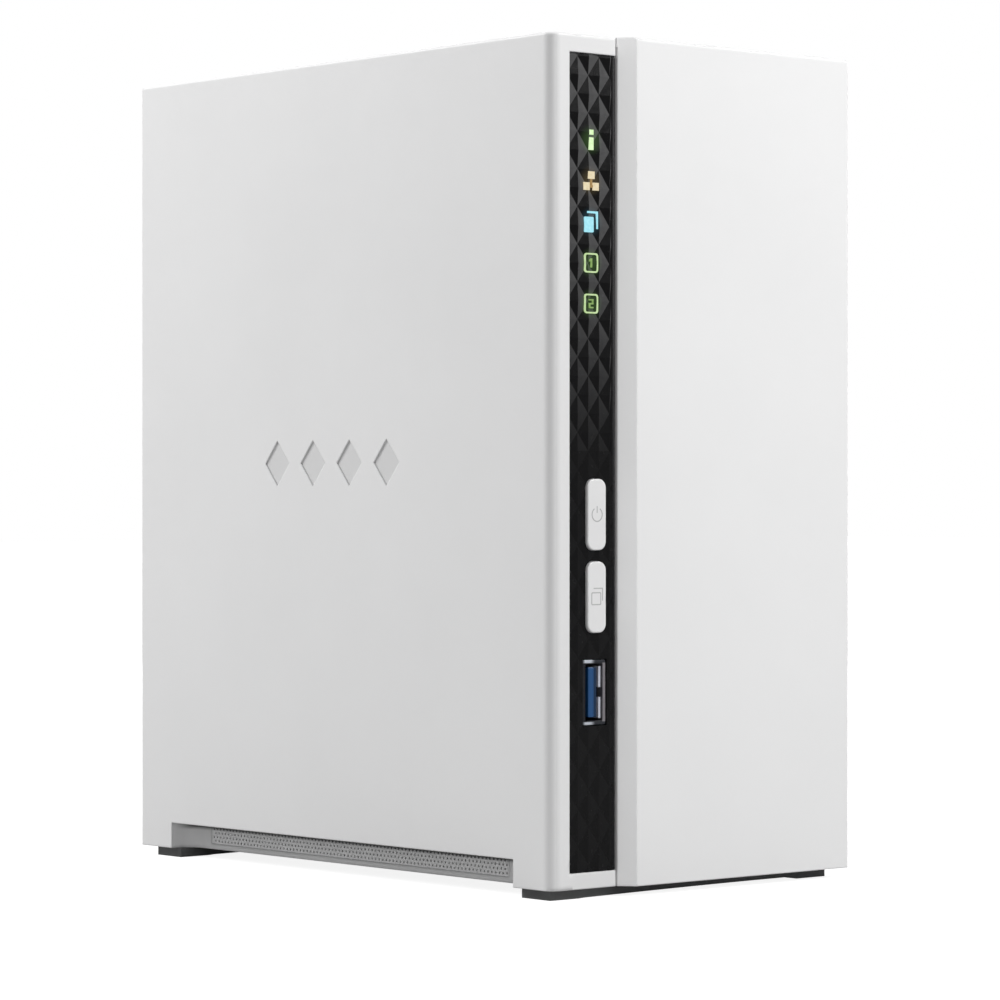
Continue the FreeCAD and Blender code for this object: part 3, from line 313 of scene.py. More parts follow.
def window_mat():
    """Smoked gloss panel.  Facets that turn to the right get painted light, which fades out downwards."""
    m, nt, b = new_mat("window_gloss")
    v = coords(nt)
    geo = nod(nt, "ShaderNodeNewGeometry")
    sx = nod(nt, "ShaderNodeSeparateXYZ")
    nt.links.new(geo.outputs["True Normal"], sx.inputs[0])
    sp = nod(nt, "ShaderNodeSeparateXYZ")
    nt.links.new(v, sp.inputs[0])
    # painted light: facets turned to the right are coloured lighter
    lit = remap(nt, sx.outputs["X"], 0.01, 0.03, 0, 1)
    front = remap(nt, sx.outputs["X"], 0.5, 0.6, 1, 0)
    lit = math_n(nt, "MULTIPLY", lit, front)
    fade = remap(nt, sp.outputs["Z"], 0.092, 0.158, 0.10, 1, True)
    lit = math_n(nt, "MULTIPLY", lit, fade)
    # the painted light of the facet lattice goes on, barely seen, where the panel is flat
    u = math_n(nt, "MULTIPLY", math_n(nt, "SUBTRACT", sp.outputs["X"], PX * MM), 1.0 / (PW * MM))
    w = math_n(nt, "MULTIPLY", math_n(nt, "SUBTRACT", sp.outputs["Z"], PZ * MM), 1.0 / (PH * MM))
    fa = math_n(nt, "FRACT", math_n(nt, "ADD", math_n(nt, "ADD", u, w), 40.5))
    fb = math_n(nt, "FRACT", math_n(nt, "ADD", math_n(nt, "SUBTRACT", u, w), 80.5))
    half = math_n(nt, "GREATER_THAN", math_n(nt, "ADD", fa, fb), 1.0)
    flat = remap(nt, sp.outputs["Z"], SPLIT * MM - 0.0001, SPLIT * MM, 0.045, 0.0)
    lit = math_n(nt, "ADD", lit, math_n(nt, "MULTIPLY", half, flat))
    soft = remap(nt, noise(nt, v, 500, 2), 0.3, 0.7, 0.82, 1.05)
    lit = math_n(nt, "MULTIPLY", lit, soft)
    # painted highlight on the thin rib beside the right edge, lighter towards the top
    rib = math_n(nt, "MULTIPLY", math_n(nt, "GREATER_THAN", sp.outputs["X"], -0.02622), math_n(nt, "LESS_THAN", sp.outputs["X"], -0.02592))
    rib = math_n(nt, "MULTIPLY", rib, remap(nt, sp.outputs["Z"], 0.06, 0.15, 0.12, 0.95, True))
    lit = math_n(nt, "MAXIMUM", lit, rib)
    col = mixcol(nt, lit, (0.0042, 0.0042, 0.0045), (0.074, 0.074, 0.075))
    nt.links.new(col, b.inputs["Base Color"])
    nt.links.new(remap(nt, noise(nt, v, 700, 2), 0.3, 0.7, 0.20, 0.28), b.inputs["Roughness"])
    b.inputs["Specular IOR Level"].default_value = 0.13
    # faint light of each lamp that spreads in the panel round its icon
    total = None
    for k, z in ICONS.items():
        d = nod(nt, "ShaderNodeVectorMath", operation="DISTANCE")
        nt.links.new(v, d.inputs[0])
        d.inputs[1].default_value = (ICON_X * MM, -0.0742, z * MM)
        f = remap(nt, d.outputs["Value"], 0.0010, 0.0038, 1, 0, True)
        c = mixcol(nt, f, (0, 0, 0), GLOW[k])
        total = c if total is None else mixcol(nt, 1.0, total, c, "ADD")
    nt.links.new(total, b.inputs["Emission Color"])
    b.inputs["Emission Strength"].default_value = 0.05
    return m


PW, PH = 6.30, 8.25                  # one facet stud of the window relief
PX, PZ = -36.60, 172.50
SPLIT = 98.25                        # relief above, plain below
M["window"] = window_mat()


def lamp_mat(name, core, edge_col, strength):
    m, nt, b = new_mat(name)
    v = coords(nt)
    n = noise(nt, v, 1400, 2)
    col = mixcol(nt, remap(nt, n, 0.3, 0.7, 0, 1), core, edge_col)
    nt.links.new(mixcol(nt, 0.86, col, (0.0, 0.0, 0.0)), b.inputs["Base Color"])
    nt.links.new(col, b.inputs["Emission Color"])
    b.inputs["Emission Strength"].default_value = strength
    b.inputs["Roughness"].default_value = 0.3
    return m


M["lamp_green"] = lamp_mat("lamp_green", (0.58, 0.84, 0.40), (0.74, 0.92, 0.58), 0.95)
M["lamp_lime"] = lamp_mat("lamp_lime", (0.46, 0.64, 0.29), (0.60, 0.76, 0.42), 0.9)
M["lamp_dim"] = lamp_mat("lamp_dim", (0.20, 0.34, 0.09), (0.28, 0.44, 0.14), 0.85)
M["lamp_amber"] = lamp_mat("lamp_amber", (0.74, 0.62, 0.38), (0.84, 0.74, 0.52), 0.85)
M["lamp_amber_dim"] = lamp_mat("lamp_amber_dim", (0.36, 0.22, 0.07), (0.42, 0.27, 0.10), 0.8)
M["lamp_cyan"] = lamp_mat("lamp_cyan", (0.30, 0.72, 0.84), (0.42, 0.82, 0.92), 0.9)
M["pipe"] = plastic("light_pipe_clear", (0.55, 0.58, 0.55), rough=0.2, spec=0.5, tone=0.04)
M["print"] = plastic("icon_print", (0.44, 0.44, 0.44), rough=0.5, spec=0.3, tone=0.08)

by_slot = {
    "shell_plastic": "shell", "rear_plastic": "rear", "grille_metal": "grille", "window_plastic": "window", "light_pipe": "pipe",
    "circuit_board": "board", "led_body": "nylon", "dark_plastic": "dark", "button_plastic": "button", "socket_metal": "nickel",
    "usb_blue": "blue", "contact_gold": "gold", "screw_steel": "screw", "heatsink_metal": "alu", "cage_steel": "steel",
    "drive_aluminium": "cast", "tray_plastic": "tray", "fan_plastic": "fan", "mesh_plastic": "mesh", "foot_rubber": "rubber",
    "lead_plastic": "lead", "connector_white": "nylon"}
slot_of = {s["node"]: s["material_slot"] for s in frame["record"]["subparts"]}
for name, obj in nodes.items():
    obj.data.materials.clear()
    obj.data.materials.append(M["cover"] if name == "case_cover" else M[by_slot[slot_of[name]]])


# softened edges on the plain CAD pieces that can be seen
for name, width in (("usb_rear_shells", 0.00012), ("ethernet_socket", 0.0002),
                    ("power_inlet", 0.0002), ("usb_rear_tongues", 0.00015), ("fan_grille", 0.00012), ("processor_heatsink", 0.0002)):
    bv = nodes[name].modifiers.new("soft", "BEVEL")
    bv.width = width
    bv.segments = 2
    bv.limit_method = "ANGLE"
    bv.angle_limit = math.radians(50)


# ============================================================ mesh helpers
def obj_from_bm(name, bm, mat, body, smooth=False, angle=None):
    me = bpy.data.meshes.new(name)
    bm.normal_update()
    bm.to_mesh(me)
    bm.free()
    ob = bpy.data.objects.new(name, me)
    bpy.context.scene.collection.objects.link(ob)
    for mm in (mat if isinstance(mat, list) else [mat]):
        me.materials.append(mm)
    for p in me.polygons:
        p.use_smooth = smooth
    if body:
        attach(ob, body)
    return ob


def rrect(x0, x1, z0, z1, r, n=8):
    pts = []
    for cx, cz, a0 in ((x1 - r, z1 - r, 0), (x0 + r, z1 - r, 90), (x0 + r, z0 + r, 180), (x1 - r, z0 + r, 270)):
        for i in range(n + 1):
            a = math.radians(a0 + 90.0 * i / n)
            pts.append((cx + r * math.cos(a), cz + r * math.sin(a)))
    return pts


def rect(x0, x1, z0, z1):
    return [(x1, z1), (x0, z1), (x0, z0), (x1, z0)]


def circle(cx, cz, r, n=24):
    return [(cx + r * math.cos(2 * math.pi * i / n), cz + r * math.sin(2 * math.pi * i / n)) for i in range(n)]


def plate(loops, y0, y1, bevel=0.0):
    """Flat plate in X-Z with holes, from y0 to y1 (mm), as a mesh."""
    cu = bpy.data.curves.new("tmp", "CURVE")
    cu.dimensions = "2D"
    cu.fill_mode = "BOTH"
    t = (y1 - y0) * MM / 2
    cu.extrude = t - bevel * MM
    cu.bevel_depth = bevel * MM
    cu.bevel_resolution = 1
    cu.offset = -bevel * MM
    for lp in loops:
        s = cu.splines.new("POLY")
        s.points.add(len(lp) - 1)
        for p, (x, z) in zip(s.points, lp):
            p.co = (x * MM, z * MM, 0, 1)
        s.use_cyclic_u = True
    ob = bpy.data.objects.new("tmp", cu)
    bpy.context.scene.collection.objects.link(ob)
    bpy.context.view_layer.update()
    me = bpy.data.meshes.new_from_object(ob)
    bpy.data.objects.remove(ob)
    bpy.data.curves.remove(cu)
    # curve plane (x, z) to world: x -> x, y -> z, z -> -y
    mid = (y0 + y1) / 2 * MM
    me.transform(Matrix(((1, 0, 0, 0), (0, 0, -1, mid), (0, 1, 0, 0), (0, 0, 0, 1))))
    return me


def piece_from_meshes(name, meshes, mat, body, smooth=False):
    bm = bmesh.new()
    for me in meshes:
        bm.from_mesh(me)
        bpy.data.meshes.remove(me)
    bmesh.ops.remove_doubles(bm, verts=bm.verts, dist=1e-7)
    return obj_from_bm(name, bm, mat, body, smooth)


# ===================================================== dark faceted window
lo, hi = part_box("window_fascia")
WX0, WX1 = lo.x / MM, hi.x / MM
WZ0, WZ1 = lo.z / MM, hi.z / MM
WY0, WY1 = lo.y / MM, hi.y / MM


def build_window():
    bm = bmesh.new()
    base_y = WY0 + 0.16
    i0 = int(math.floor((WX0 - PX) / (PW / 2))) - 2
    i1 = int(math.ceil((WX1 - PX) / (PW / 2))) + 2
    strip = -26.70                   # narrow plain band at the right edge
    for i in range(i0, i1 + 1):
        for j in range(-11, 4):
            cx = PX + i * PW / 2
            cz = PZ + j * PH + (PH / 2 if i % 2 else 0.0)
            d = 0.34 * max(0.25, min(1.0, (cz - 88.0) / 50.0))
            pts = [(cx, cz + PH / 2), (cx - PW / 2, cz), (cx, cz - PH / 2), (cx + PW / 2, cz)]
            vs = [bm.verts.new((x * MM, base_y * MM, z * MM)) for x, z in pts]
            ap = bm.verts.new((cx * MM, (base_y - d) * MM, cz * MM))
            for k in range(4):
                bm.faces.new((vs[k], vs[(k + 1) % 4], ap))
    for co, no in (((WX0, 0, 0), (-1, 0, 0)), ((strip, 0, 0), (1, 0, 0)), ((0, 0, SPLIT), (0, 0, -1)), ((0, 0, WZ1), (0, 0, 1))):
        geom = bm.verts[:] + bm.edges[:] + bm.faces[:]
        bmesh.ops.bisect_plane(bm, geom=geom, plane_co=Vector(co) * MM, plane_no=Vector(no), clear_outer=True)
    bmesh.ops.remove_doubles(bm, verts=bm.verts, dist=2e-6)
    for v in bm.verts:                   # the facets run down into the plain band
        if abs(v.co.x - strip * MM) < 1e-6:
            v.co.y = (WY0 + 0.05) * MM
    bm.normal_update()
    for f in bm.faces:
        if f.normal.y > 0:
            f.normal_flip()
    # body of the panel behind the relief
    me = bpy.data.meshes.new("relief")
    bm.to_mesh(me)
    bm.free()
    back = plate([rect(WX0, strip, SPLIT, WZ1)], base_y + 0.02, WY1)
    band = plate([rect(strip, WX1, SPLIT, WZ1)], WY0 + 0.05, WY1)
    rib = plate([rect(-26.20, -25.95, WZ0, WZ1)], WY0, WY0 + 0.3, bevel=0.04)
    low = plate([rect(WX0, WX1, WZ0, SPLIT + 0.001),
                 rrect(-31.46 - 2.95, -31.46 + 2.95, 84.33 - 8.05, 84.33 + 8.05, 2.2),
                 rrect(-31.46 - 2.95, -31.46 + 2.95, 66.19 - 8.05, 66.19 + 8.05, 2.2),
                 rect(-31.6 - 3.55, -31.6 + 3.55, 45.25 - 7.3, 45.25 + 7.3)], WY0 + 0.04, WY1)
    ob = piece_from_meshes("window_panel", [me, back, band, rib, low], M["window"], "chassis")
    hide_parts("window_fascia")
    return ob


build_window()

# ============================================================ status lamps
IY0, IY1 = WY0 - 0.19, WY0 + 0.30    # icons end just proud of the relief


def icon(name, loops, mat, node, dim=(), dim_mat=None):
    """Lit mark: bright loops in the first material, dim ones in the second, with the clear stem behind."""
    bm = bmesh.new()
    for k, group_ in enumerate((loops, dim)):
        for l in group_:
            me = plate(l, IY0, IY1)
            me.materials.clear()
            for p_ in me.polygons:
                p_.material_index = k
            bm.from_mesh(me)
            bpy.data.meshes.remove(me)
    cz = ICONS[node.replace("_light_pipe", "")]
    for l, y0, y1 in ((rrect(x - 2.6, x + 2.6, cz - 2.6, cz + 2.6, 0.4), WY0 + 0.62, -71.95), (rrect(x - 1.5, x + 1.5, cz - 1.5, cz + 1.5, 0.3), -72.0, -65.3)):
        me = plate([l], y0, y1)
        for p_ in me.polygons:
            p_.material_index = 2
        bm.from_mesh(me)
        bpy.data.meshes.remove(me)
    ob = obj_from_bm(name, bm, [M[mat], M[dim_mat or mat], M["pipe"]], "chassis")
    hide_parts(node)
    return ob


x = ICON_X
z = ICONS["power"]
icon("lamp_power", [[rect(x - 0.62, x + 0.62, z + 1.15, z + 2.25)], [rect(x - 0.62, x + 0.62, z - 2.2, z + 0.55)]], "lamp_green", "power_light_pipe")
z = ICONS["network"]
icon("lamp_network", [[rect(x - 0.95, x + 0.95, z + 0.45, z + 2.1)], [rect(x - 2.25, x - 0.5, z - 2.05, z - 0.35)],
                      [rect(x + 0.45, x + 2.2, z - 2.05, z - 0.35)]], "lamp_amber", "network_light_pipe",
     [[rect(x - 0.5, x + 0.45, z - 1.45, z - 0.95)], [rect(x - 0.25, x + 0.25, z - 0.95, z + 0.45)]], "lamp_amber_dim")
z = ICONS["copy"]
icon("lamp_copy", [[rrect(x - 2.0, x + 0.65, z - 2.3, z + 1.1, 0.25)],
                   [[(x - 1.2, z + 2.35), (x - 1.2, z + 1.9), (x + 1.5, z + 1.9), (x + 1.5, z - 1.5), (x + 1.95, z - 1.5), (x + 1.95, z + 2.35)]]],
     "lamp_cyan", "copy_light_pipe")


def bay_icon(name, cz, digit, node):
    loops = [[rrect(x - 2.0, x + 2.0, cz - 2.15, cz + 2.15, 0.7), rrect(x - 1.66, x + 1.66, cz - 1.81, cz + 1.81, 0.4)]]
    dim = []
    if digit == 1:
        dim.append([[(x - 0.45, cz + 0.65), (x - 0.05, cz + 1.0), (x + 0.25, cz + 1.0), (x + 0.25, cz - 1.0), (x - 0.1, cz - 1.0), (x - 0.1, cz + 0.5), (x - 0.45, cz + 0.3)]])
    else:
        dim.append([[(x - 0.6, cz + 1.0), (x + 0.6, cz + 1.0), (x + 0.6, cz - 0.15), (x - 0.3, cz - 0.15), (x - 0.3, cz - 0.7), (x + 0.6, cz - 0.7),
                       (x + 0.6, cz - 1.0), (x - 0.6, cz - 1.0), (x - 0.6, cz + 0.15), (x + 0.3, cz + 0.15), (x + 0.3, cz + 0.7), (x - 0.6, cz + 0.7)]])
    icon(name, loops, "lamp_lime", node, dim, "lamp_dim")


bay_icon("lamp_drive_one", ICONS["drive_one"], 1, "drive_one_light_pipe")
bay_icon("lamp_drive_two", ICONS["drive_two"], 2, "drive_two_light_pipe")


# ============================================================ button marks
def arc_band(cx, cz, r, w, a0, a1, n=28):
    out = [(cx + (r + w) * math.cos(math.radians(a0 + (a1 - a0) * i / n)), cz + (r + w) * math.sin(math.radians(a0 + (a1 - a0) * i / n))) for i in range(n + 1)]
    inn = [(cx + (r - w) * math.cos(math.radians(a0 + (a1 - a0) * i / n)), cz + (r - w) * math.sin(math.radians(a0 + (a1 - a0) * i / n))) for i in range(n, -1, -1)]
    return out + inn


blo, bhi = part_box("power_button")
BY = blo.y / MM
p = piece_from_meshes("power_mark", [plate([arc_band(-31.46, 84.33, 1.5, 0.13, 122, 418)], BY - 0.02, BY + 0.1),
                                     plate([rect(-31.46 - 0.13, -31.46 + 0.13, 84.7, 86.2)], BY - 0.02, BY + 0.1)], M["print"], "power_button")
p = piece_from_meshes("copy_mark", [plate([rrect(-31.46 - 1.7, -31.46 + 1.2, 66.19 - 1.75, 66.19 + 1.1, 0.35), rrect(-31.46 - 1.46, -31.46 + 0.96, 66.19 - 1.51, 66.19 + 0.86, 0.18)], BY - 0.02, BY + 0.1),
                                    plate([[(-32.5, 68.25), (-32.5, 68.02), (-30.0, 68.02), (-30.0, 65.4), (-29.76, 65.4), (-29.76, 68.25)]], BY - 0.02, BY + 0.1)],
                      M["print"], "copy_button")


# =========================================================== front USB port
def lip_mat():
    m, nt, b = new_mat("socket_lip")
    v = coords(nt)
    sp = nod(nt, "ShaderNodeSeparateXYZ")
    nt.links.new(v, sp.inputs[0])
    # painted reflection: glints on the left of the top and bottom lips, a dark left flange and a mid-grey right flange
    off = math_n(nt, "ABSOLUTE", math_n(nt, "SUBTRACT", sp.outputs["Z"], 0.04525))
    ends = math_n(nt, "GREATER_THAN", off, 0.00648)
    glint = remap(nt, sp.outputs["X"], -0.0329, -0.0312, 1.0, 0.02, True)
    glint = math_n(nt, "MULTIPLY", glint, remap(nt, sp.outputs["X"], -0.0349, -0.0341, 0.1, 1.0, True))
    top = mixcol(nt, glint, (0.012, 0.014, 0.02), (0.62, 0.66, 0.72))
    right = remap(nt, sp.outputs["X"], -0.0292, -0.0290, 0.0, 1.0)
    side = mixcol(nt, right, (0.008, 0.009, 0.012), (0.25, 0.235, 0.25))
    col = mixcol(nt, ends, side, top)
    col = mixcol(nt, remap(nt, noise(nt, v, 1800, 2), 0.3, 0.7, 0, 0.2), col, (0.05, 0.05, 0.055))
    nt.links.new(col, b.inputs["Base Color"])
    b.inputs["Metallic"].default_value = 0.55
    nt.links.new(remap(nt, noise(nt, v, 900, 2), 0.3, 0.7, 0.34, 0.46), b.inputs["Roughness"])
    bump(nt, b, noise(nt, v, 2600, 2), 0.15, 0.00001)
    return m


M["lip"] = lip_mat()
M["tin"] = plastic("spring_tin", (0.60, 0.62, 0.70), rough=0.42, spec=0.8, grain=2400, grain_h=0.00001, tone=0.08)


def usb_front():
    cx, cz = -31.6, 45.25
    outer = rrect(cx - 2.85, cx + 2.85, cz - 6.55, cz + 6.55, 0.5)
    inner = rrect(cx - 2.55, cx + 2.55, cz - 6.25, cz + 6.25, 0.3)
    parts = [plate([outer, inner], -73.6, -57.3), plate([outer], -57.3, -56.9),
             plate([rrect(cx - 3.4, cx + 3.4, cz - 7.15, cz + 7.15, 0.45), rrect(cx - 2.55, cx + 2.55, cz - 6.25, cz + 6.25, 0.3)], -73.9, -73.4, bevel=0.12)]
    ob = piece_from_meshes("usb_front_socket", parts, M["lip"], "chassis")
    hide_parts("usb_front_shell")
    # contact springs stamped in the right wall: two leaves that bow inwards
    bm = bmesh.new()
    for z0, z1 in ((cz + 1.1, cz + 5.7), (cz - 5.7, cz - 1.1)):
        n = 14
        prev = None
        for i in range(n + 1):
            t = i / n
            y = -73.35 + 6.0 * t
            bow = 0.55 * math.sin(math.pi * min(1.0, t * 1.15)) if t < 0.87 else 0.0
            xx, tk = (cx + 1.80, 0.62) if i < 1 else (cx + 2.30 - bow * 0.8, 0.14)
            ring = [bm.verts.new((a * MM, y * MM, b_ * MM)) for a, b_ in ((xx, z0), (xx, z1), (xx + tk, z1), (xx + tk, z0))]
            if prev:
                for q in range(4):
                    bm.faces.new((prev[q], prev[(q + 1) % 4], ring[(q + 1) % 4], ring[q]))
            else:
                bm.faces.new(ring)
            prev = ring
        bm.faces.new(prev)
    bmesh.ops.recalc_face_normals(bm, faces=bm.faces)
    sp_ = obj_from_bm("usb_front_springs", bm, M["tin"], "chassis", smooth=False)
    # blue tongue with stepped contact seats and its moulded block
    x0, x1 = cx - 1.40, cx + 0.32
    teeth = []
    for k in range(5):
        zc = cz - 4.4 + 2.2 * k
        teeth.append(plate([rrect(cx + 1.25, cx + 1.47, zc - 0.75, zc + 0.75, 0.1)], -72.9, -62.5))
    # the stepped block takes the darker, painted-shade copy of the tongue blue
    step_ = piece_from_meshes("usb_front_step", [plate([rrect(x1 + 0.02, cx + 1.3, cz - 5.5, cz + 5.5, 0.3)], -73.25, -61.5, bevel=0.15)], M["blue_deep"], "chassis")
    tongue = [plate([rrect(x0, x1, cz - 5.5, cz + 5.5, 0.35)], -73.5, -61.5, bevel=0.18),
              plate([rrect(cx - 2.5, cx + 2.5, cz - 6.2, cz + 6.2, 0.2)], -61.5, -57.35)]
    tb = piece_from_meshes("usb_front_insert", tongue + teeth, M["blue"], "chassis")
    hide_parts("usb_front_tongue")


usb_front()


# ============================================================= intake mesh
def build_mesh():
    lo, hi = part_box("intake_mesh")
    x0, x1 = lo.x, hi.x
    rows, pitch = 4, 1.29 * MM
    rh = (hi.z - lo.z - 0.4 * MM) / rows
    bm = bmesh.new()
    r = 0.31 * MM

    def quad(y0, y1, z0, z1):
        for xx, flip in ((x0, False), (x1, True)):
            vs = [bm.verts.new((xx, y, z)) for y, z in ((y0, z0), (y0, z1), (y1, z1), (y1, z0))]
            f = bm.faces.new(vs)
            if flip:
                f.normal_flip()

    for j in range(rows):
        za = lo.z + 0.2 * MM + j * rh
        zb = za + rh
        off = pitch / 2 if j % 2 else 0.0
        cols = int((hi.y - lo.y - off) / pitch)
        y = lo.y + off
        if off > 0:
            quad(lo.y, y, za, zb)
        for k in range(cols):
            ya, yb = y + k * pitch, y + (k + 1) * pitch
            cy, cz = (ya + yb) / 2, (za + zb) / 2
            sq = [(yb, cz), (yb, zb), (cy, zb), (ya, zb), (ya, cz), (ya, za), (cy, za), (yb, za)]
            ring = [(cy + r * math.cos(math.pi / 4 * q), cz + r * math.sin(math.pi / 4 * q)) for q in range(8)]
            outer = {}
            for xx in (x0, x1):
                outer[xx] = ([bm.verts.new((xx, a, b)) for a, b in sq], [bm.verts.new((xx, a, b)) for a, b in ring])
            for q in range(8):
                q2 = (q + 1) % 8
                o, i = outer[x0]
                bm.faces.new((o[q], i[q], i[q2], o[q2]))
                o, i = outer[x1]
                bm.faces.new((o[q], o[q2], i[q2], i[q]))
                bm.faces.new((outer[x0][1][q], outer[x1][1][q], outer[x1][1][q2], outer[x0][1][q2]))
        if y + cols * pitch < hi.y - 1e-6:
            quad(y + cols * pitch, hi.y, za, zb)
    for za, zb in ((lo.z, lo.z + 0.2 * MM), (hi.z - 0.2 * MM, hi.z)):
        quad(lo.y, hi.y, za, zb)
    bmesh.ops.remove_doubles(bm, verts=bm.verts, dist=1e-7)
    bmesh.ops.recalc_face_normals(bm, faces=bm.faces)
    ob = obj_from_bm("intake_perforation", bm, M["mesh"], "chassis")
    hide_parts("intake_mesh")


build_mesh()


# ==================================================================== feet
def foot(node, name):
    """Moulded rubber bar: thick pads at the ends and an underside that rises between them."""
    lo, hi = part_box(node)
    x0, x1, y0, y1, z1 = lo.x / MM, hi.x / MM, lo.y / MM, hi.y / MM, hi.z / MM
    under = [(x0, 0.0), (x0 + 8.5, 0.0), (x0 + 10.0, 0.10)]
    n = 14
    for i in range(1, n + 1):
        t = i / n
        under.append((x0 + 10.0 + t * (x1 - 13.0 - x0 - 10.0), 0.10 + 0.45 * math.sin(t * math.pi / 2)))
    under += [(x1 - 11.4, 0.50), (x1 - 10.2, 0.22), (x1 - 9.2, 0.0), (x1, 0.0)]
    loop = [(x1, z1), (x0, z1)] + under
    ob = piece_from_meshes(name, [plate([loop], y0, y1)], M["rubber"], "chassis")
    bv = ob.modifiers.new("soft", "BEVEL")
    bv.width = 0.00045
    bv.segments = 3
    bv.limit_method = "ANGLE"
    bv.angle_limit = math.radians(50)
    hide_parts(node)


foot("front_foot", "front_foot_bar")
foot("rear_foot", "rear_foot_bar")


# =============================================================== fan rotor
def build_rotor():
    lo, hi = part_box("fan_rotor")
    cx, cz = 0.012, 0.120
    y0, y1 = 0.0542, 0.0704
    bm = bmesh.new()
    # hub: lathe with a rounded rim and a shallow dished face toward the back
    prof = [(0.0, y1), (0.0085, y1), (0.0088, y1 - 0.0003), (0.0115, y1 - 0.0003), (0.0122, y1 - 0.0007), (0.0125, y1 - 0.0015),
            (0.0125, y0 + 0.0012), (0.0121, y0 + 0.0004), (0.0113, y0), (0.0, y0)]
    n = 64
    rings = []
    for r, y in prof:
        if r == 0.0:
            rings.append([bm.verts.new((cx, y, cz))])
        else:
            rings.append([bm.verts.new((cx + r * math.cos(2 * math.pi * i / n), y, cz + r * math.sin(2 * math.pi * i / n))) for i in range(n)])
    for a, b in zip(rings, rings[1:]):
        for i in range(n):
            i2 = (i + 1) % n
            if len(a) == 1:
                bm.faces.new((a[0], b[i], b[i2]))
            elif len(b) == 1:
                bm.faces.new((a[i], b[0], a[i2]))
            else:
                bm.faces.new((a[i], b[i], b[i2], a[i2]))
    # seven twisted, swept blades with real thickness
    nr, nc = 9, 9
    for k in range(7):
        grid = {}
        for side in (0, 1):
            for a in range(nr + 1):
                u = a / nr
                r = 0.0121 + u * (0.0275 - 0.0121)
                pitch = math.radians(48 - 16 * u)
                chord = 0.0135 + 0.0060 * u
                sweep = math.radians(10) * u * u
                for c in range(nc + 1):
                    w = c / nc - 0.5
                    arc = chord * math.cos(pitch) * w / r
                    y = 0.0623 + chord * math.sin(pitch) * w + 0.0011 * math.cos(math.pi * w)
                    th = 0.0012 * (1 - (2 * w) ** 2) * 0.5 + 0.00022
                    y += th * (0.5 if side else -0.5) * 1.6
                    ang = 2 * math.pi * k / 7 + arc + sweep
                    grid[(side, a, c)] = bm.verts.new((cx + r * math.cos(ang), y, cz + r * math.sin(ang)))
        for a in range(nr):
            for c in range(nc):
                bm.faces.new((grid[(0, a, c)], grid[(0, a, c + 1)], grid[(0, a + 1, c + 1)], grid[(0, a + 1, c)]))
                bm.faces.new((grid[(1, a, c)], grid[(1, a + 1, c)], grid[(1, a + 1, c + 1)], grid[(1, a, c + 1)]))
        for a in range(nr):
            for c in (0, nc):
                bm.faces.new((grid[(0, a, c)], grid[(0, a + 1, c)], grid[(1, a + 1, c)], grid[(1, a, c)]))
        for c in range(nc):
            for a in (0, nr):
                bm.faces.new((grid[(0, a, c)], grid[(1, a, c)], grid[(1, a, c + 1)], grid[(0, a, c + 1)]))
    bmesh.ops.recalc_face_normals(bm, faces=bm.faces)
    ob = obj_from_bm("fan_impeller", bm, M["fan"], "fan_rotor", smooth=True)
    em = ob.modifiers.new("split", "EDGE_SPLIT")
    em.split_angle = math.radians(38)
    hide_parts("fan_rotor")


build_rotor()


# ================================================================== screws
def screw_set(name, items, node, body="chassis"):
    """Cross-recess screws seen from the back: pan head with a real recess, and a shank."""
    metas = []
    for cx, cz, y0, y1, r, shank_y, shank_r in items:
        plus = []
        a, b = r * 0.16, r * 0.62
        for px, pz in ((a, b), (-a, b), (-a, a), (-b, a), (-b, -a), (-a, -a), (-a, -b), (a, -b), (a, -a), (b, -a), (b, a), (a, a)):
            plus.append((cx + px, cz + pz))
        mid = y0 + (y1 - y0) * 0.35
        metas.append(plate([circle(cx, cz, r, 40), plus], mid, y1, bevel=0.0))
        metas.append(plate([circle(cx, cz, r, 40)], y0, mid))
        metas.append(plate([circle(cx, cz, shank_r, 24)], shank_y, y0))
    ob = piece_from_meshes(name, metas, M["screw"], body)
    bv = ob.modifiers.new("soft", "BEVEL")
    bv.width = 0.00018
    bv.segments = 2
    bv.limit_method = "ANGLE"
    bv.angle_limit = math.radians(50)
    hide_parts(node)


screw_set("fan_fixings", [(12 + a * 25, 120 + b * 25, 76.4, 77.70, 2.9, 67, 1.5) for a in (-1, 1) for b in (-1, 1)], "fan_screws")
screw_set("rear_fixings", [(39.2, 182.2, 75.6, 77.70, 3.0, 66.5, 1.5), (39.2, 11.2, 75.6, 77.70, 3.0, 66.5, 1.5),
                           (-39.6, 183.6, 75.6, 77.15, 2.8, 66.2, 1.4), (-39.6, 8.2, 75.6, 77.15, 2.8, 66.2, 1.4), (23.5, 8.2, 75.6, 77.15, 2.8, 66.2, 1.4)], "rear_screws")

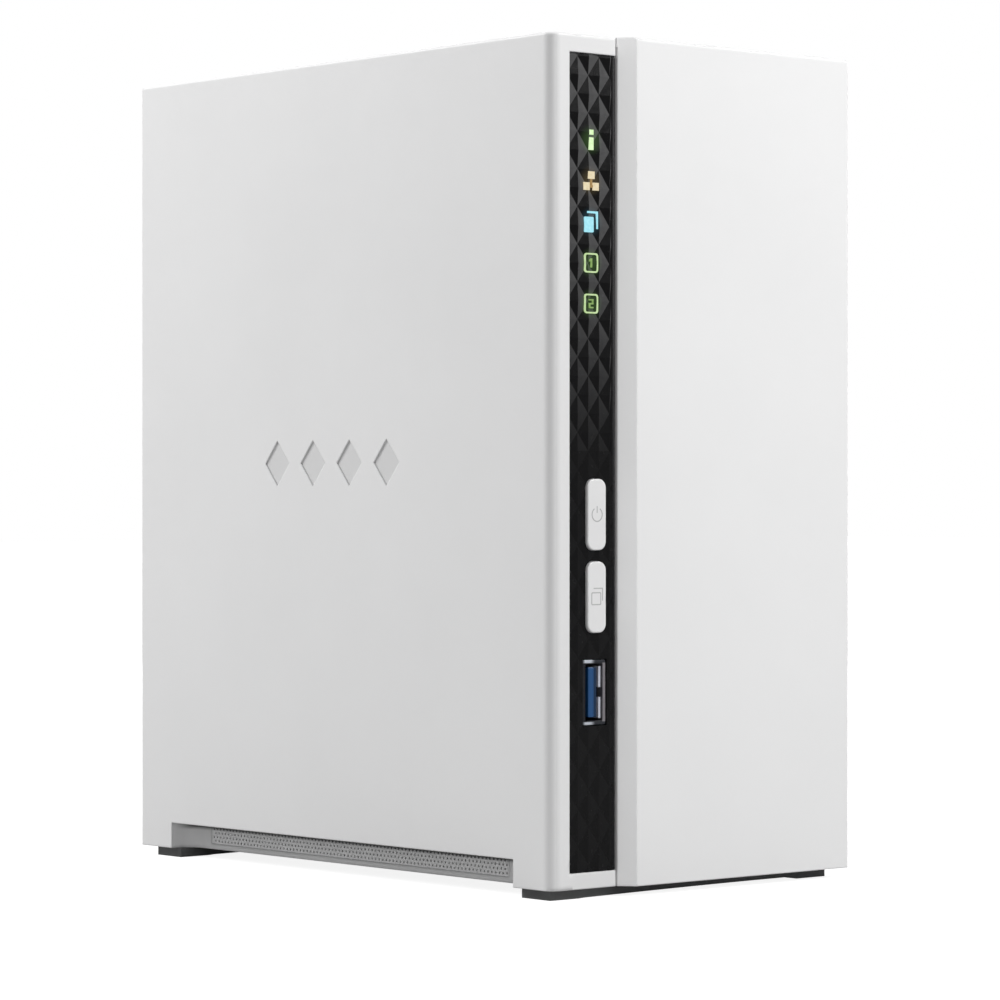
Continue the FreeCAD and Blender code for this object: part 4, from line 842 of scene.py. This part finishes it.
# ============================================================ stage, camera
fl = bpy.data.meshes.new("floor")
R = 6.0
fl.from_pydata([(-R, -R, 0), (R, -R, 0), (R, R, 0), (-R, R, 0)], [], [(0, 1, 2, 3)])
floor = bpy.data.objects.new("floor", fl)
bpy.context.scene.collection.objects.link(floor)
m, nt, b = new_mat("floor_pale")
lp = nod(nt, "ShaderNodeLightPath")
v = coords(nt)
fc = mixcol(nt, lp.outputs["Is Camera Ray"], (0.42, 0.42, 0.42), (0.30, 0.30, 0.30))
fc = mixcol(nt, remap(nt, noise(nt, v, 6, 3), 0.3, 0.7, 0, 0.02), fc, (0.4, 0.4, 0.4))
nt.links.new(fc, b.inputs["Base Color"])
b.inputs["Emission Color"].default_value = (1, 1, 1, 1)
nt.links.new(math_n(nt, "MULTIPLY", lp.outputs["Is Camera Ray"], 0.88), b.inputs["Emission Strength"])
b.inputs["Roughness"].default_value = 0.95
b.inputs["Specular IOR Level"].default_value = 0.0
fl.materials.append(m)

world = bpy.data.worlds.new("studio")
bpy.context.scene.world = world
world.use_nodes = True
wt = world.node_tree
bg = wt.nodes["Background"]
wlp = wt.nodes.new("ShaderNodeLightPath")
wm = wt.nodes.new("ShaderNodeMix")
wm.data_type = "RGBA"
wt.links.new(wlp.outputs["Is Camera Ray"], wm.inputs["Factor"])
ca = [i for i in wm.inputs if i.type == "RGBA"]
ca[0].default_value = (0.47, 0.47, 0.473, 1)
ca[1].default_value = (1.0, 1.0, 1.0, 1)
wt.links.new([o for o in wm.outputs if o.type == "RGBA"][0], bg.inputs["Color"])
bg.inputs["Strength"].default_value = 1.0


def area(name, loc, target, size, power, color=(1, 1, 1)):
    li = bpy.data.lights.new(name, "AREA")
    li.shape = "RECTANGLE"
    li.size, li.size_y = size
    li.energy = power
    li.color = color
    ob = bpy.data.objects.new(name, li)
    ob.location = loc
    ob.rotation_euler = (Vector(target) - Vector(loc)).to_track_quat("-Z", "Y").to_euler()
    bpy.context.scene.collection.objects.link(ob)
    return ob


area("left_soft", (-0.47, 0.45, 0.62), (-0.045, 0.0, 0.12), (0.38, 0.38), 4.95)
area("front_soft", (0.37, -0.66, 0.64), (0.01, -0.078, 0.12), (0.38, 0.38), 6.45)
area("back_soft", (0.55, 0.95, 0.42), (0.0, 0.0, 0.1), (0.6, 0.6), 3.4)

cam_d = bpy.data.cameras.new("camera")
cam = bpy.data.objects.new("camera", cam_d)
bpy.context.scene.collection.objects.link(cam)
cam.location = (-0.60039, -0.70013, 0.08754)
cam.rotation_euler = (math.radians(90), 0, math.radians(-40.848))
cam_d.sensor_width = 36.0
cam_d.lens = 138.51
cam_d.clip_start = 0.01
cam_d.clip_end = 50
bpy.context.scene.camera = cam
bpy.context.scene.view_settings.view_transform = "Standard"

bpy.context.view_layer.update()
